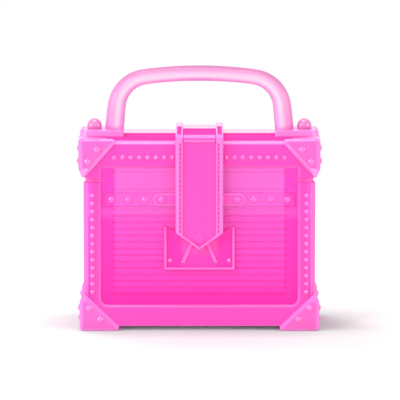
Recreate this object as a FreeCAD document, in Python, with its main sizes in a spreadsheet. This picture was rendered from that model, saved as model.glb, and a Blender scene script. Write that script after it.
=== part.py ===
import FreeCAD, Part
import math
import os
import re

import Sketcher

# A bobbin box shaped like a small travelling trunk, moulded in clear-tinted plastic.
# Millimetres, +Z up, front towards -Y, origin on the table under the middle of the box.

SIZES = {
    # The plan that base and lid share
    "body_width": 104.6,
    "body_depth": 54.0,
    "edge_radius": 3.0,
    "post_width": 8.0,
    # Base tub
    "foot_lift": 2.0,
    "base_height": 65.3,
    "panel_wall": 2.0,
    "panel_recess": 1.6,
    "floor_wall": 2.0,
    "band_height": 9.7,
    "panel_corner_radius": 2.7,
    "recess_bevel": 1.1,
    "rim_height": 2.1,
    "lip_wall": 1.0,
    "lip_height": 2.2,
    # Horizontal grooves between the ribs of the panels
    "rib_pitch": 2.97,
    "rib_count": 17,
    "rib_start": 4.7,
    "groove_width": 0.7,
    "groove_depth": 0.5,
    "groove_margin": 5.0,
    # Lid shell
    "lid_gap": 0.3,
    "lid_height": 16.5,
    "lid_wall": 2.2,
    "lid_roof": 2.0,
    "lid_edge_bevel": 1.6,
    "lid_skirt": 3.9,
    "lid_recess": 1.2,
    "lid_groove_rise": 2.2,
    "lid_groove_depth": 0.4,
    # Corner caps
    "base_cap_wall": 1.9,
    "base_cap_run": 20.0,
    "base_cap_rise": 19.2,
    "base_cap_radius": 2.0,
    "lid_cap_wall": 2.3,
    "lid_cap_roof": 1.0,
    "lid_cap_run": 18.6,
    "lid_cap_rise": 21.1,
    "lid_cap_radius": 2.6,
    "cap_bevel": 2.3,
    "cap_edge_bevel": 1.0,
    "cap_tip_slope": 4.2,
    "cap_tip_inset": 1.7,
    # Corner rivets: how far along and how far down or up from the cap's outer corner
    "rivet_radius": 1.6,
    "rivet_height": 0.8,
    "lid_rivet_near": 4.2,
    "lid_rivet_far": 8.5,
    "lid_rivet_deep": 10.2,
    "lid_rivet_shallow": 4.8,
    "base_rivet_near": 4.5,
    "base_rivet_far": 9.5,
    "base_rivet_deep": 10.3,
    "base_rivet_shallow": 5.2,
    # Rivet heads and buttons of every kind
    "head_sides": 8,
    "head_taper": 0.62,
    "dome_sides": 20,
    "dome_rings": 5,
    # Rows of small studs
    "stud_radius": 1.05,
    "stud_height": 0.6,
    "post_stud_count": 13,
    "post_stud_pitch": 3.65,
    "post_stud_start": 15.6,
    "lid_stud_count": 8,
    "lid_stud_pitch": 3.78,
    "lid_stud_gap": 0.2,
    "lid_stud_drop": 7.6,
    # Belt and hasp bar on the front panel
    "belt_drop": 10.9,
    "belt_height": 6.2,
    "belt_wall": 1.0,
    "belt_side_gap": 0.3,
    "bar_length": 41.6,
    "bar_height": 5.6,
    "bar_wall": 0.6,
    "belt_rivet_radius": 1.5,
    "belt_rivet_height": 0.7,
    "belt_rivet_count": 4,
    "bar_rivet_inset": 3.9,
    "belt_rivet_inset": 3.2,
    # Keeper pocket
    "keeper_low": 25.7,
    "keeper_height": 20.2,
    "keeper_width": 31.8,
    "keeper_wall": 0.8,
    "keeper_rim": 1.1,
    "keeper_rim_rise": 1.8,
    "keeper_mouth_drop": 2.8,
    "keeper_rib_width": 1.0,
    "keeper_rib_rise": 1.4,
    "keeper_rib_top": 11.9,
    "keeper_rib_spread": 5.0,
    "keeper_rib_run": 9.0,
    "keeper_rivet_side": 2.5,
    "keeper_rivet_rise": 4.1,
    "keeper_rivet_radius": 1.0,
    "keeper_rivet_height": 0.6,
    # Strap over the lid and down the front
    "strap_width": 21.5,
    "strap_rail": 3.3,
    "strap_wall": 2.1,
    "strap_rail_rise": 1.0,
    "strap_lid_gap": 0.4,
    "strap_shoulder": 42.8,
    "strap_tip": 35.0,
    "strap_tip_border": 1.2,
    "strap_pin_radius": 0.8,
    "strap_pin_rise": 1.1,
    "strap_lug_radius": 2.0,
    "strap_barrel_radius": 1.9,
    "strap_side_gap": 0.3,
    "barrel_gap": 0.15,
    "stitch_inset": 1.7,
    "stitch_width": 0.7,
    "stitch_depth": 0.5,
    "saddle_back_gap": 1.5,
    "rail_round": 0.9,
    "pin_fit": 0.05,
    "turning_gap": 0.4,
    # Snap at the strap's tip
    "snap_height": 40.2,
    "snap_base_radius": 2.6,
    "snap_top_radius": 1.6,
    "snap_rise": 1.7,
    "socket_radius": 3.0,
    "socket_depth": 0.8,
    "snap_cap_gap": 0.4,
    "snap_cap_height": 0.9,
    # Rear hinges
    "hinge_place": 28.0,
    "hinge_width": 14.0,
    "hinge_axis_out": 1.75,
    "hinge_axis_rise": 1.2,
    "knuckle_radius": 1.75,
    "hinge_pin_radius": 0.8,
    "lid_knuckle": 5.4,
    "knuckle_gap": 0.3,
    "leaf_wall": 2.0,
    "base_leaf_height": 9.5,
    "lid_leaf_wall": 1.2,
    "lid_leaf_height": 10.5,
    "leaf_gap": 0.6,
    "leaf_rivet_radius": 1.1,
    "leaf_rivet_height": 0.6,
    "leaf_rivet_side": 3.2,
    # Handle
    "foot_reach": 18.0,
    "foot_length": 18.2,
    "foot_depth": 18.0,
    "foot_height": 2.8,
    "foot_round": 1.6,
    "leg_inset": 13.7,
    "leg_lean": 5.0,
    "handle_rise": 25.4,
    "handle_crown_radius": 190.0,
    "handle_corner_radius": 15.0,
    "leg_radius": 4.3,
    "bar_radius": 3.6,
    "handle_sides": 24,
    "handle_bend_steps": 7,
    "handle_crown_steps": 6,
    "dome_inset": 4.6,
    "dome_radius": 3.4,
    "dome_collar": 1.6,
    # Lift-out bobbin rack
    "rack_side_gap": 0.4,
    "rack_wall": 1.0,
    "rack_floor_gap": 0.2,
    "pocket_length": 9.9,
    "rack_height": 66.0,
    "shelf_height": 47.4,
    "shelf_wall": 2.0,
    "bobbin_diameter": 20.3,
    "bobbin_gap": 0.4,
    "seat_depth": 0.8,
    "seat_pitch": 22.2,
}

doc = FreeCAD.newDocument("bobbin_box")
sheet = doc.addObject("Spreadsheet::Sheet", "sizes")
for row, (alias, number) in enumerate(SIZES.items(), start=1):
    sheet.set(f"A{row}", alias)
    sheet.set(f"B{row}", str(number))
    sheet.setAlias(f"B{row}", alias)
doc.recompute()

# Levels and planes that several pieces share, as formulas of the sheet
BASE_TOP = "foot_lift + base_height"
RIM_TOP = f"({BASE_TOP} + rim_height)"
LIP_TOP = f"({RIM_TOP} + lip_height)"
FLOOR_TOP = "(foot_lift + floor_wall)"
LID_LOW = f"({RIM_TOP} + lid_gap)"
LID_TOP = f"({LID_LOW} + lid_height)"
FRONT = "(body_depth / 2)"
SIDE = "(body_width / 2)"
PANEL = f"({FRONT} - panel_recess)"
INNER_DEPTH = f"({PANEL} - panel_wall)"
INNER_WIDTH = f"({SIDE} - panel_recess - panel_wall)"
PANEL_HALF = f"({SIDE} - post_width)"
SIDE_PANEL_HALF = f"({FRONT} - post_width)"
STRAP_BACK = f"({FRONT} + strap_lid_gap)"
STRAP_FACE = f"({STRAP_BACK} + strap_wall)"
STRAP_OUT = f"({STRAP_FACE} + strap_rail_rise)"
STRAP_AXIS_OUT = f"({STRAP_OUT} - strap_lug_radius)"
STRAP_AXIS_Z = f"({LID_TOP} + strap_pin_rise)"
STRAP_CENTRE_HALF = "(strap_width / 2 - strap_rail)"
HINGE_Y = f"({FRONT} + hinge_axis_out)"
HINGE_Z = f"({BASE_TOP} + hinge_axis_rise)"

# Two things closer than this are taken to touch
TOUCH = 1e-5

X_AXIS = FreeCAD.Vector(1, 0, 0)
Y_AXIS = FreeCAD.Vector(0, 1, 0)
Z_AXIS = FreeCAD.Vector(0, 0, 1)
ALONG_X = FreeCAD.Rotation(Y_AXIS, 90)
OUT_OF_FRONT = FreeCAD.Rotation(X_AXIS, 90)


def cells(formula):
    """The formula with each word pointed at its cell of the sheet."""
    return re.sub(r"[a-z]\w*", lambda word: "sizes." + word.group(), formula)


def mm(formula):
    """The formula's value in millimetres."""
    return float(sheet.evalExpression(cells(formula)))


def bind(item, **formulas):
    """Ties properties of an object to formulas of the sheet."""
    for name, formula in formulas.items():
        item.setExpression(name, cells(formula))


def place(item, x="0", y="0", z="0", turn=None):
    """Ties an object's place to formulas of the sheet."""
    if turn is not None:
        item.Placement = FreeCAD.Placement(FreeCAD.Vector(), turn)
    for axis, formula in zip("xyz", (x, y, z)):
        item.setExpression(f".Placement.Base.{axis}", cells(formula))


def block(name, low, high):
    """A box between two corners."""
    item = doc.addObject("Part::Box", name)
    spans = [f"({top}) - ({bottom})" for bottom, top in zip(low, high)]
    bind(item, Length=spans[0], Width=spans[1], Height=spans[2])
    place(item, *low)
    return item


def rod(name, radius, length, x, y, z, turn=None):
    """A cylinder from a point, along Z or turned to another axis."""
    item = doc.addObject("Part::Cylinder", name)
    bind(item, Radius=radius, Height=length)
    place(item, x, y, z, turn)
    return item


def fuse(name, pieces):
    item = doc.addObject("Part::MultiFuse", name)
    item.Shapes = pieces
    item.Refine = True
    return item


def cut(name, base, tool):
    item = doc.addObject("Part::Cut", name)
    item.Base = base
    item.Tool = tool
    return item


def mirror(name, source, normal):
    item = doc.addObject("Part::Mirroring", name)
    item.Source = source
    item.Normal = normal
    item.Label = name
    return item


def feature(name, shape):
    item = doc.addObject("Part::Feature", name)
    item.Shape = shape
    return item


def edges_where(shape, test):
    """The names of a shape's edges whose middle point passes a test."""
    return [f"Edge{i}" for i, edge in enumerate(shape.Edges, start=1) if test(edge)]


def upright(edge):
    """True for a straight edge along Z."""
    box = edge.BoundBox
    return box.XLength + box.YLength < TOUCH


def rounded(name, base, radius, test):
    """The base with the edges that pass the test rounded."""
    doc.recompute()
    item = doc.addObject("Part::Fillet", name)
    item.Base = base
    reach = mm(radius)
    numbers = [int(edge[4:]) for edge in edges_where(base.Shape, test)]
    item.Edges = [(number, reach, reach) for number in numbers]
    return item


def plane_of(body, role):
    return next(item for item in body.Origin.OriginFeatures if item.Role == role)


def outline(body, name, role, offset, points):
    """A closed sketch of straight lines, its corners tied to formulas of the sheet."""
    sketch = body.newObject("Sketcher::SketchObject", name)
    sketch.AttachmentSupport = (plane_of(body, role), [""])
    sketch.MapMode = "FlatFace"
    sketch.setExpression(".AttachmentOffset.Base.z", cells(offset))
    corners = [FreeCAD.Vector(mm(across), mm(up), 0) for across, up in points]
    count = len(corners)
    for i in range(count):
        sketch.addGeometry(Part.LineSegment(corners[i], corners[(i + 1) % count]), False)
    for i in range(count):
        sketch.addConstraint(Sketcher.Constraint("Coincident", i, 2, (i + 1) % count, 1))
    for i, (across, up) in enumerate(points):
        for kind, formula in (("DistanceX", across), ("DistanceY", up)):
            number = sketch.addConstraint(Sketcher.Constraint(kind, -1, 1, i, 1, mm(formula)))
            sketch.setExpression(f"Constraints[{number}]", cells(formula))
    return sketch


def rectangle(body, name, role, offset, half_width, low, high):
    points = [(f"-({half_width})", low), (half_width, low), (half_width, high), (f"-({half_width})", high)]
    return outline(body, name, role, offset, points)


def pad(body, sketch, length):
    item = body.newObject("PartDesign::Pad", sketch.Name + "_pad")
    item.Profile = sketch
    bind(item, Length=length)
    return item


def pocket(body, sketch, depth, backwards=False):
    """A pocket that is checked to have taken something away."""
    doc.recompute()
    before = body.Shape.Volume
    item = body.newObject("PartDesign::Pocket", sketch.Name + "_pocket")
    item.Profile = sketch
    item.Reversed = backwards
    bind(item, Length=depth)
    doc.recompute()
    if body.Shape.Volume >= before:
        raise RuntimeError(f"{sketch.Name} cuts nothing")
    return item


def dress(body, kind, name, radius, test):
    """A fillet or chamfer of a body on the edges that pass a test."""
    doc.recompute()
    tip = body.Tip
    item = body.newObject(f"PartDesign::{kind}", name)
    item.Base = (tip, edges_where(tip.Shape, test))
    bind(item, **{"Radius" if kind == "Fillet" else "Size": radius})
    doc.recompute()
    return item


def ring(radius, sides, centre, direction):
    """The corners of a regular polygon that faces a direction."""
    turn = FreeCAD.Rotation(Z_AXIS, direction)
    angles = [2 * math.pi * i / sides for i in range(sides)]
    points = [FreeCAD.Vector(radius * math.cos(a), radius * math.sin(a), 0) for a in angles]
    return [centre + turn.multVec(point) for point in points]


def skinned(rings, halved=False):
    """A solid with flat sides between rings of corners, each side halved where it would twist."""
    outlines = [rings[0], rings[-1]]
    for low, high in zip(rings, rings[1:]):
        for i in range(len(low)):
            side = [low[i - 1], low[i], high[i], high[i - 1]]
            outlines += [side[:3], [side[0], *side[2:]]] if halved else [side]
    shell = Part.makeShell([Part.Face(Part.makePolygon([*outline, outline[0]])) for outline in outlines])
    shell.sewShape()
    return Part.makeSolid(shell)


def faceted(levels, sides, foot, direction):
    """A small button on a face, from its pairs of radius and level."""
    return skinned([ring(radius, sides, foot + direction * level, direction) for radius, level in levels])


def heads(name, radius, height, seats):
    """A group of like rivet heads, each a solid of its own, one for each seat and direction."""
    levels = [(mm(radius), 0), (mm(radius) * mm("head_taper"), mm(height))]
    sides = round(mm("head_sides"))
    solids = [faceted(levels, sides, foot, direction) for foot, direction in seats]
    return feature(name, Part.makeCompound(solids))


def button(name, radius, collar, rise, foot, direction):
    """One large button: a short collar under a domed top."""
    steps = round(mm("dome_rings"))
    angles = [math.pi / 2 * i / steps for i in range(steps)]
    levels = [(mm(radius), 0)] if mm(collar) > 0 else []
    levels += [(mm(radius) * math.cos(a), mm(collar) + mm(rise) * math.sin(a)) for a in angles]
    return feature(name, faceted(levels, round(mm("dome_sides")), foot, direction))


def mirrored_seats(seats, flips):
    """The seats together with their mirror images in the named planes."""
    for axis in flips:
        copies = []
        for foot, direction in seats:
            flipped = [FreeCAD.Vector(foot), FreeCAD.Vector(direction)]
            for vector in flipped:
                setattr(vector, axis, -getattr(vector, axis))
            copies.append(tuple(flipped))
        seats = seats + copies
    return seats


# The four upright faces of the box: sketch plane, its distance out and whether a pocket runs backwards
FACES = {
    "front": ("XZ_Plane", "", FRONT, PANEL_HALF, False),
    "rear": ("XZ_Plane", "-", FRONT, PANEL_HALF, True),
    "right": ("YZ_Plane", "", SIDE, SIDE_PANEL_HALF, False),
    "left": ("YZ_Plane", "-", SIDE, SIDE_PANEL_HALF, True),
}


def recess(body, face, low, high, depth, corner=None):
    """A sunk panel in one face, its border bevelled and its lower corners rounded."""
    role, sign, out, half, backwards = FACES[face]
    sketch = rectangle(body, f"{body.Name}_{face}", role, f"{sign}{out}", half, low, high)
    pocket(body, sketch, depth, backwards)
    along = "x" if role == "XZ_Plane" else "y"
    across = "y" if role == "XZ_Plane" else "x"
    level = mm(out) * (1 if backwards == (role == "XZ_Plane") else -1)
    if corner is not None:
        corner_half, corner_low = mm(half), mm(low)

        def is_corner(edge):
            spot = edge.CenterOfMass
            straight = edge.BoundBox.ZLength < TOUCH and edge.Length < mm(depth) + TOUCH
            beside = abs(abs(getattr(spot, along)) - corner_half) < TOUCH
            below = abs(spot.z - corner_low) < TOUCH
            return straight and beside and below and getattr(spot, across) * level > 0

        dress(body, "Fillet", f"{body.Name}_{face}_corner", corner, is_corner)

    def is_border(edge):
        spot = edge.CenterOfMass
        thin = (edge.BoundBox.YLength if across == "y" else edge.BoundBox.XLength) < TOUCH
        inside = abs(getattr(spot, along)) < mm(half) + TOUCH
        open_end = mm(high) if corner else mm(low)
        between = mm(low) - TOUCH < spot.z < mm(high) + TOUCH and abs(spot.z - open_end) > TOUCH
        return thin and inside and between and abs(getattr(spot, across) - level) < TOUCH

    dress(body, "Chamfer", f"{body.Name}_{face}_bevel", "recess_bevel", is_border)


# Base tub: floor, posts, sunk ribbed panels, rim and the lip that guides the lid

tub = doc.addObject("PartDesign::Body", "base_tub")
tub_plan = rectangle(tub, "tub_plan", "XY_Plane", "foot_lift", SIDE, f"-{FRONT}", FRONT)
pad(tub, tub_plan, "base_height")
dress(tub, "Fillet", "tub_edges", "edge_radius", upright)
rim_plan = rectangle(tub, "rim_plan", "XY_Plane", BASE_TOP, f"{SIDE} - panel_recess", f"-{PANEL}", PANEL)
pad(tub, rim_plan, "rim_height")
lip_half = f"{INNER_DEPTH} + lip_wall"
lip_side = f"{INNER_WIDTH} + lip_wall"
lip_plan = rectangle(tub, "lip_plan", "XY_Plane", RIM_TOP, lip_side, f"-({lip_half})", lip_half)
pad(tub, lip_plan, "lip_height")
hollow_plan = rectangle(tub, "hollow_plan", "XY_Plane", LIP_TOP, INNER_WIDTH, f"-{INNER_DEPTH}", INNER_DEPTH)
pocket(tub, hollow_plan, f"{LIP_TOP} - {FLOOR_TOP}")
PANEL_LOW = "(foot_lift + band_height)"
GROOVE_MIDDLE = f"({PANEL_LOW} + rib_start)"
for face in FACES:
    recess(tub, face, PANEL_LOW, BASE_TOP, "panel_recess", "panel_corner_radius")
    role, sign, out, half, backwards = FACES[face]
    groove = rectangle(
        tub,
        f"tub_{face}_groove",
        role,
        f"{sign}({out} - panel_recess)",
        f"{half} - groove_margin",
        f"{GROOVE_MIDDLE} - groove_width / 2",
        f"{GROOVE_MIDDLE} + groove_width / 2",
    )
    first = pocket(tub, groove, "groove_depth", backwards)
    ribs = tub.newObject("PartDesign::LinearPattern", f"tub_{face}_ribs")
    ribs.Originals = [first]
    ribs.Direction = (groove, ["V_Axis"])
    bind(ribs, Length="rib_pitch * (rib_count - 1)", Occurrences="rib_count")
    tub.Tip = ribs
    doc.recompute()

# Lid shell: a shallow tray turned over, with the same posts and a short sunk skirt

lid = doc.addObject("PartDesign::Body", "lid_shell")
lid_plan = rectangle(lid, "lid_plan", "XY_Plane", LID_LOW, SIDE, f"-{FRONT}", FRONT)
pad(lid, lid_plan, "lid_height")
dress(lid, "Fillet", "lid_edges", "edge_radius", upright)
lid_top_level = mm(LID_TOP)
dress(lid, "Chamfer", "lid_crown", "lid_edge_bevel", lambda edge: edge.BoundBox.ZMin > lid_top_level - TOUCH)
LID_INNER = f"({FRONT} - lid_wall)"
LID_INNER_SIDE = f"({SIDE} - lid_wall)"
lid_hollow = rectangle(lid, "lid_hollow", "XY_Plane", LID_LOW, LID_INNER_SIDE, f"-{LID_INNER}", LID_INNER)
pocket(lid, lid_hollow, "lid_height - lid_roof", backwards=True)
SKIRT_TOP = f"({LID_LOW} + lid_skirt)"
for face in FACES:
    recess(lid, face, LID_LOW, SKIRT_TOP, "lid_recess")
    role, sign, out, half, backwards = FACES[face]
    groove = rectangle(
        lid,
        f"lid_{face}_groove",
        role,
        f"{sign}({out} - lid_recess)",
        f"{half} - groove_margin",
        f"{LID_LOW} + lid_groove_rise - groove_width / 2",
        f"{LID_LOW} + lid_groove_rise + groove_width / 2",
    )
    pocket(lid, groove, "lid_groove_depth", backwards)

# Corner caps: three bevelled leaves that meet over a corner of the box, rounded outside


def beyond_edge(corner, along, up, into, run, rise, wall):
    """A block that lies beyond the bevelled long edge of one leaf of a cap."""
    bevel = mm("cap_bevel") / run
    normal = (along / run + up / rise - into * (bevel / wall)).normalize()
    span = 4 * max(run, rise)
    slab = Part.makeBox(span, span, span, FreeCAD.Vector(-span / 2, -span / 2, 0))
    slab.Placement = FreeCAD.Placement(corner + along * (run * (1 - bevel)), FreeCAD.Rotation(Z_AXIS, normal))
    return slab


def beyond_tip(corner, outward, down, height):
    """A block that lies outside the sloped end of one leaf of a cap."""
    slope, inset = mm("cap_tip_slope"), mm("cap_tip_inset")
    span = 4 * height
    slab = Part.makeBox(span, span, span, FreeCAD.Vector(-span / 2, -span / 2, 0))
    normal = (outward * slope + down * inset).normalize()
    slab.Placement = FreeCAD.Placement(corner + down * (height - slope), FreeCAD.Rotation(Z_AXIS, normal))
    return slab


def corner_cap(corner, down, run, rise, radius, wall, roof, height):
    """The cap of the front right corner, from its outer corner point inwards."""
    left, back = -X_AXIS, Y_AXIS
    reach = max(run, rise)
    low = corner + left * reach + (down * height if down.z < 0 else FreeCAD.Vector())
    outside = Part.makeBox(reach, reach, height, low)
    tip = Part.Vertex(corner)
    outer_edge = [edge for edge in outside.Edges if upright(edge) and edge.distToShape(tip)[0] < TOUCH]
    outside = outside.makeFillet(radius, outer_edge)
    crown = [
        edge
        for edge in outside.Edges
        if edge.BoundBox.ZLength < TOUCH
        and abs(edge.BoundBox.ZMin - corner.z) < TOUCH
        and edge.BoundBox.XMax > corner.x - reach + TOUCH
        and edge.BoundBox.YMin < corner.y + reach - TOUCH
    ]
    outside = outside.makeChamfer(mm("cap_edge_bevel"), crown)
    hollow = Part.makeBox(reach, reach, height, low + left * wall + back * wall + down * roof)
    spare = [
        beyond_edge(corner, left, down, back, run, rise, wall),
        beyond_edge(corner, back, down, left, run, rise, wall),
        beyond_edge(corner, left, back, down, run, run, roof),
        beyond_tip(corner, X_AXIS, down, height),
        beyond_tip(corner, -Y_AXIS, down, height),
    ]
    return outside.cut([hollow, *spare]).removeSplitter()


def cap_set(group, shape):
    """The front right cap and its three mirror images."""
    first = feature(f"{group}_front_right", shape)
    second = mirror(f"{group}_front_left", first, X_AXIS)
    third = mirror(f"{group}_rear_right", first, Y_AXIS)
    fourth = mirror(f"{group}_rear_left", second, Y_AXIS)
    return [first, second, third, fourth]


base_corner = FreeCAD.Vector(mm(f"{SIDE} + base_cap_wall"), -mm(f"{FRONT} + base_cap_wall"), 0)
base_caps = cap_set(
    "base_corner",
    corner_cap(
        base_corner,
        Z_AXIS,
        mm("base_cap_run"),
        mm("base_cap_rise"),
        mm("base_cap_radius"),
        mm("base_cap_wall"),
        mm("foot_lift"),
        mm("base_cap_rise * (1 - base_cap_wall / base_cap_run)"),
    ),
)
lid_corner = FreeCAD.Vector(
    mm(f"{SIDE} + lid_cap_wall"), -mm(f"{FRONT} + lid_cap_wall"), mm(f"{LID_TOP} + lid_cap_roof")
)
lid_caps = cap_set(
    "lid_corner",
    corner_cap(
        lid_corner,
        -Z_AXIS,
        mm("lid_cap_run"),
        mm("lid_cap_rise"),
        mm("lid_cap_radius"),
        mm("lid_cap_wall"),
        mm("lid_cap_roof"),
        mm("lid_height + lid_cap_roof"),
    ),
)


def cap_seats(corner, group, upright_sign):
    """Rivet seats on the front and side leaves of every cap of a group."""
    seats = []
    for along, up in (("near", "deep"), ("far", "shallow")):
        step, climb = mm(f"{group}_rivet_{along}"), mm(f"{group}_rivet_{up}") * upright_sign
        seats.append((corner + FreeCAD.Vector(-step, 0, climb), -Y_AXIS))
        seats.append((corner + FreeCAD.Vector(0, step, climb), X_AXIS))
    return mirrored_seats(seats, "xy")


base_cap_seats = cap_seats(base_corner, "base", 1)
lid_cap_seats = cap_seats(lid_corner, "lid", -1)
base_corner_rivets = heads("base_corner_rivets", "rivet_radius", "rivet_height", base_cap_seats)
lid_corner_rivets = heads("lid_corner_rivets", "rivet_radius", "rivet_height", lid_cap_seats)

# Studs: a column on each front post and a row on each side of the strap along the lid's front

front_face = -mm(FRONT)
post_middle = mm(f"{SIDE} - post_width / 2")
post_start, post_step = mm("foot_lift + post_stud_start"), mm("post_stud_pitch")
post_levels = [post_start + i * post_step for i in range(round(mm("post_stud_count")))]
post_seats = [(FreeCAD.Vector(post_middle, front_face, level), -Y_AXIS) for level in post_levels]
post_studs = heads("post_studs", "stud_radius", "stud_height", mirrored_seats(post_seats, "x"))
row_level = mm(f"{LID_TOP} - lid_stud_drop")
row_start, row_step = mm("strap_width / 2 + stud_radius + lid_stud_gap"), mm("lid_stud_pitch")
row_places = [row_start + i * row_step for i in range(round(mm("lid_stud_count")))]
row_seats = [(FreeCAD.Vector(across, front_face, row_level), -Y_AXIS) for across in row_places]
lid_studs = heads("lid_studs", "stud_radius", "stud_height", mirrored_seats(row_seats, "x"))

# Belt across the front panel, and the round-ended hasp bar on it

BELT_FRONT = f"({PANEL} + belt_wall)"
BELT_LOW = f"({BASE_TOP} - belt_drop)"
belt_half = f"({PANEL_HALF} - recess_bevel - belt_side_gap)"
BELT_HIGH = f"({BELT_LOW} + belt_height)"
belt_low, belt_high = (f"-{belt_half}", f"-{BELT_FRONT}", BELT_LOW), (belt_half, f"-{PANEL}", BELT_HIGH)
front_belt = block("front_belt", belt_low, belt_high)
BAR_MIDDLE = f"({BELT_LOW} + belt_height / 2)"
bar_straight = "(bar_length / 2 - bar_height / 2)"
bar_out = f"({BELT_FRONT} + bar_wall)"
bar_pieces = [
    block(
        "bar_middle",
        (f"-{bar_straight}", f"-{bar_out}", f"{BAR_MIDDLE} - bar_height / 2"),
        (bar_straight, f"-{BELT_FRONT}", f"{BAR_MIDDLE} + bar_height / 2"),
    )
]
for sign in ("-", ""):
    spot = (f"{sign}{bar_straight}", f"-{BELT_FRONT}", BAR_MIDDLE)
    bar_pieces.append(rod(f"bar_end{sign}", "bar_height / 2", "bar_wall", *spot, OUT_OF_FRONT))
hasp_bar = fuse("hasp_bar", bar_pieces)

belt_rivet_count = round(mm("belt_rivet_count"))
first_rivet, last_rivet = mm("bar_length / 2 - bar_rivet_inset"), mm(f"{belt_half} - belt_rivet_inset")
belt_seats = []
for i in range(belt_rivet_count):
    across = first_rivet + (last_rivet - first_rivet) * i / (belt_rivet_count - 1)
    on_bar = across < mm("bar_length / 2")
    seat = FreeCAD.Vector(across, -mm(bar_out if on_bar else BELT_FRONT), mm(BAR_MIDDLE))
    belt_seats.append((seat, -Y_AXIS))
belt_rivets = heads("belt_rivets", "belt_rivet_radius", "belt_rivet_height", mirrored_seats(belt_seats, "x"))

# Keeper pocket: a thin plate with a raised rim on three sides and two slanted ribs

keeper = doc.addObject("PartDesign::Body", "keeper_pocket")
KEEPER_LOW = "(foot_lift + keeper_low)"
KEEPER_HIGH = f"({KEEPER_LOW} + keeper_height)"
keeper_half = "keeper_width / 2"
mouth_half = "(strap_width / 2 + turning_gap)"
keeper_points = [
    (f"-{keeper_half}", KEEPER_LOW),
    (keeper_half, KEEPER_LOW),
    (keeper_half, KEEPER_HIGH),
    (mouth_half, f"{KEEPER_HIGH} - keeper_mouth_drop"),
    (f"-{mouth_half}", f"{KEEPER_HIGH} - keeper_mouth_drop"),
    (f"-{keeper_half}", KEEPER_HIGH),
]
pad(keeper, outline(keeper, "keeper_plate", "XZ_Plane", PANEL, keeper_points), "keeper_wall")
inner_half = f"({keeper_half} - keeper_rim)"
rim_points = [
    (f"-{keeper_half}", KEEPER_LOW),
    (keeper_half, KEEPER_LOW),
    (keeper_half, KEEPER_HIGH),
    (inner_half, f"{KEEPER_HIGH} - keeper_rim"),
    (inner_half, f"{KEEPER_LOW} + keeper_rim"),
    (f"-{inner_half}", f"{KEEPER_LOW} + keeper_rim"),
    (f"-{inner_half}", f"{KEEPER_HIGH} - keeper_rim"),
    (f"-{keeper_half}", KEEPER_HIGH),
]
pad(keeper, outline(keeper, "keeper_rim_line", "XZ_Plane", PANEL, rim_points), "keeper_rim_rise")
RIB_TOP = f"({KEEPER_LOW} + keeper_rib_top)"
RIB_LOW = f"({RIB_TOP} - keeper_rib_run)"
rib_near = "(snap_base_radius + turning_gap)"
for sign in ("", "-"):
    rib_points = [
        (f"{sign}{rib_near}", RIB_TOP),
        (f"{sign}({rib_near} + keeper_rib_width)", RIB_TOP),
        (f"{sign}({rib_near} + keeper_rib_width + keeper_rib_spread)", RIB_LOW),
        (f"{sign}({rib_near} + keeper_rib_spread)", RIB_LOW),
    ]
    rib_name = "keeper_rib_left" if sign else "keeper_rib_right"
    pad(keeper, outline(keeper, rib_name, "XZ_Plane", PANEL, rib_points), "keeper_rib_rise")
keeper_seat = FreeCAD.Vector(
    mm(f"{keeper_half} - keeper_rivet_side"),
    -mm(f"{PANEL} + keeper_wall"),
    mm(f"{KEEPER_LOW} + keeper_rivet_rise"),
)
keeper_seats = mirrored_seats([(keeper_seat, -Y_AXIS)], "x")
keeper_rivets = heads("keeper_rivets", "keeper_rivet_radius", "keeper_rivet_height", keeper_seats)

# Snap: a stud on the keeper plate that stands in the socket behind the strap's tip

SNAP_Z = "(foot_lift + snap_height)"
snap_stud = doc.addObject("Part::Cone", "snap_stud")
bind(snap_stud, Radius1="snap_base_radius", Radius2="snap_top_radius", Height="snap_rise")
place(snap_stud, "0", f"-({PANEL} + keeper_wall)", SNAP_Z, OUT_OF_FRONT)

# Strap flap: a pointed tongue with raised rails, lugs round the pin and a socket behind the tip

flap = doc.addObject("PartDesign::Body", "flap_tongue")
strap_half = "(strap_width / 2)"
SHOULDER_Z = "(foot_lift + strap_shoulder)"
TIP_Z = "(foot_lift + strap_tip)"
tongue_points = [
    ("0", TIP_Z),
    (strap_half, SHOULDER_Z),
    (strap_half, STRAP_AXIS_Z),
    (f"-{strap_half}", STRAP_AXIS_Z),
    (f"-{strap_half}", SHOULDER_Z),
]
pad(flap, outline(flap, "tongue", "XZ_Plane", STRAP_BACK, tongue_points), "strap_wall + strap_rail_rise")
FLAP_TOP = f"({STRAP_AXIS_Z} - strap_barrel_radius - barrel_gap)"
LUG_TOP = f"({STRAP_AXIS_Z} + strap_lug_radius)"
tip_slope = "(strap_shoulder - strap_tip) / (strap_width / 2)"
field_low = f"({SHOULDER_Z} + strap_tip_border - strap_rail * {tip_slope})"
field_points = [
    ("0", f"{TIP_Z} + strap_tip_border"),
    (STRAP_CENTRE_HALF, field_low),
    (STRAP_CENTRE_HALF, LUG_TOP),
    (f"-{STRAP_CENTRE_HALF}", LUG_TOP),
    (f"-{STRAP_CENTRE_HALF}", field_low),
]
pocket(flap, outline(flap, "field", "XZ_Plane", STRAP_OUT, field_points), "strap_rail_rise")
notch = rectangle(flap, "barrel_notch", "XZ_Plane", STRAP_OUT, STRAP_CENTRE_HALF, FLAP_TOP, LUG_TOP)
pocket(flap, notch, "strap_wall + strap_rail_rise")
face_level = -mm(STRAP_OUT)


def rail_edge(edge):
    """True for the long front edges of the rails and of the pointed border."""
    box = edge.BoundBox
    return box.YLength < TOUCH and abs(box.YMin - face_level) < TOUCH and box.ZLength > 1


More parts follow.
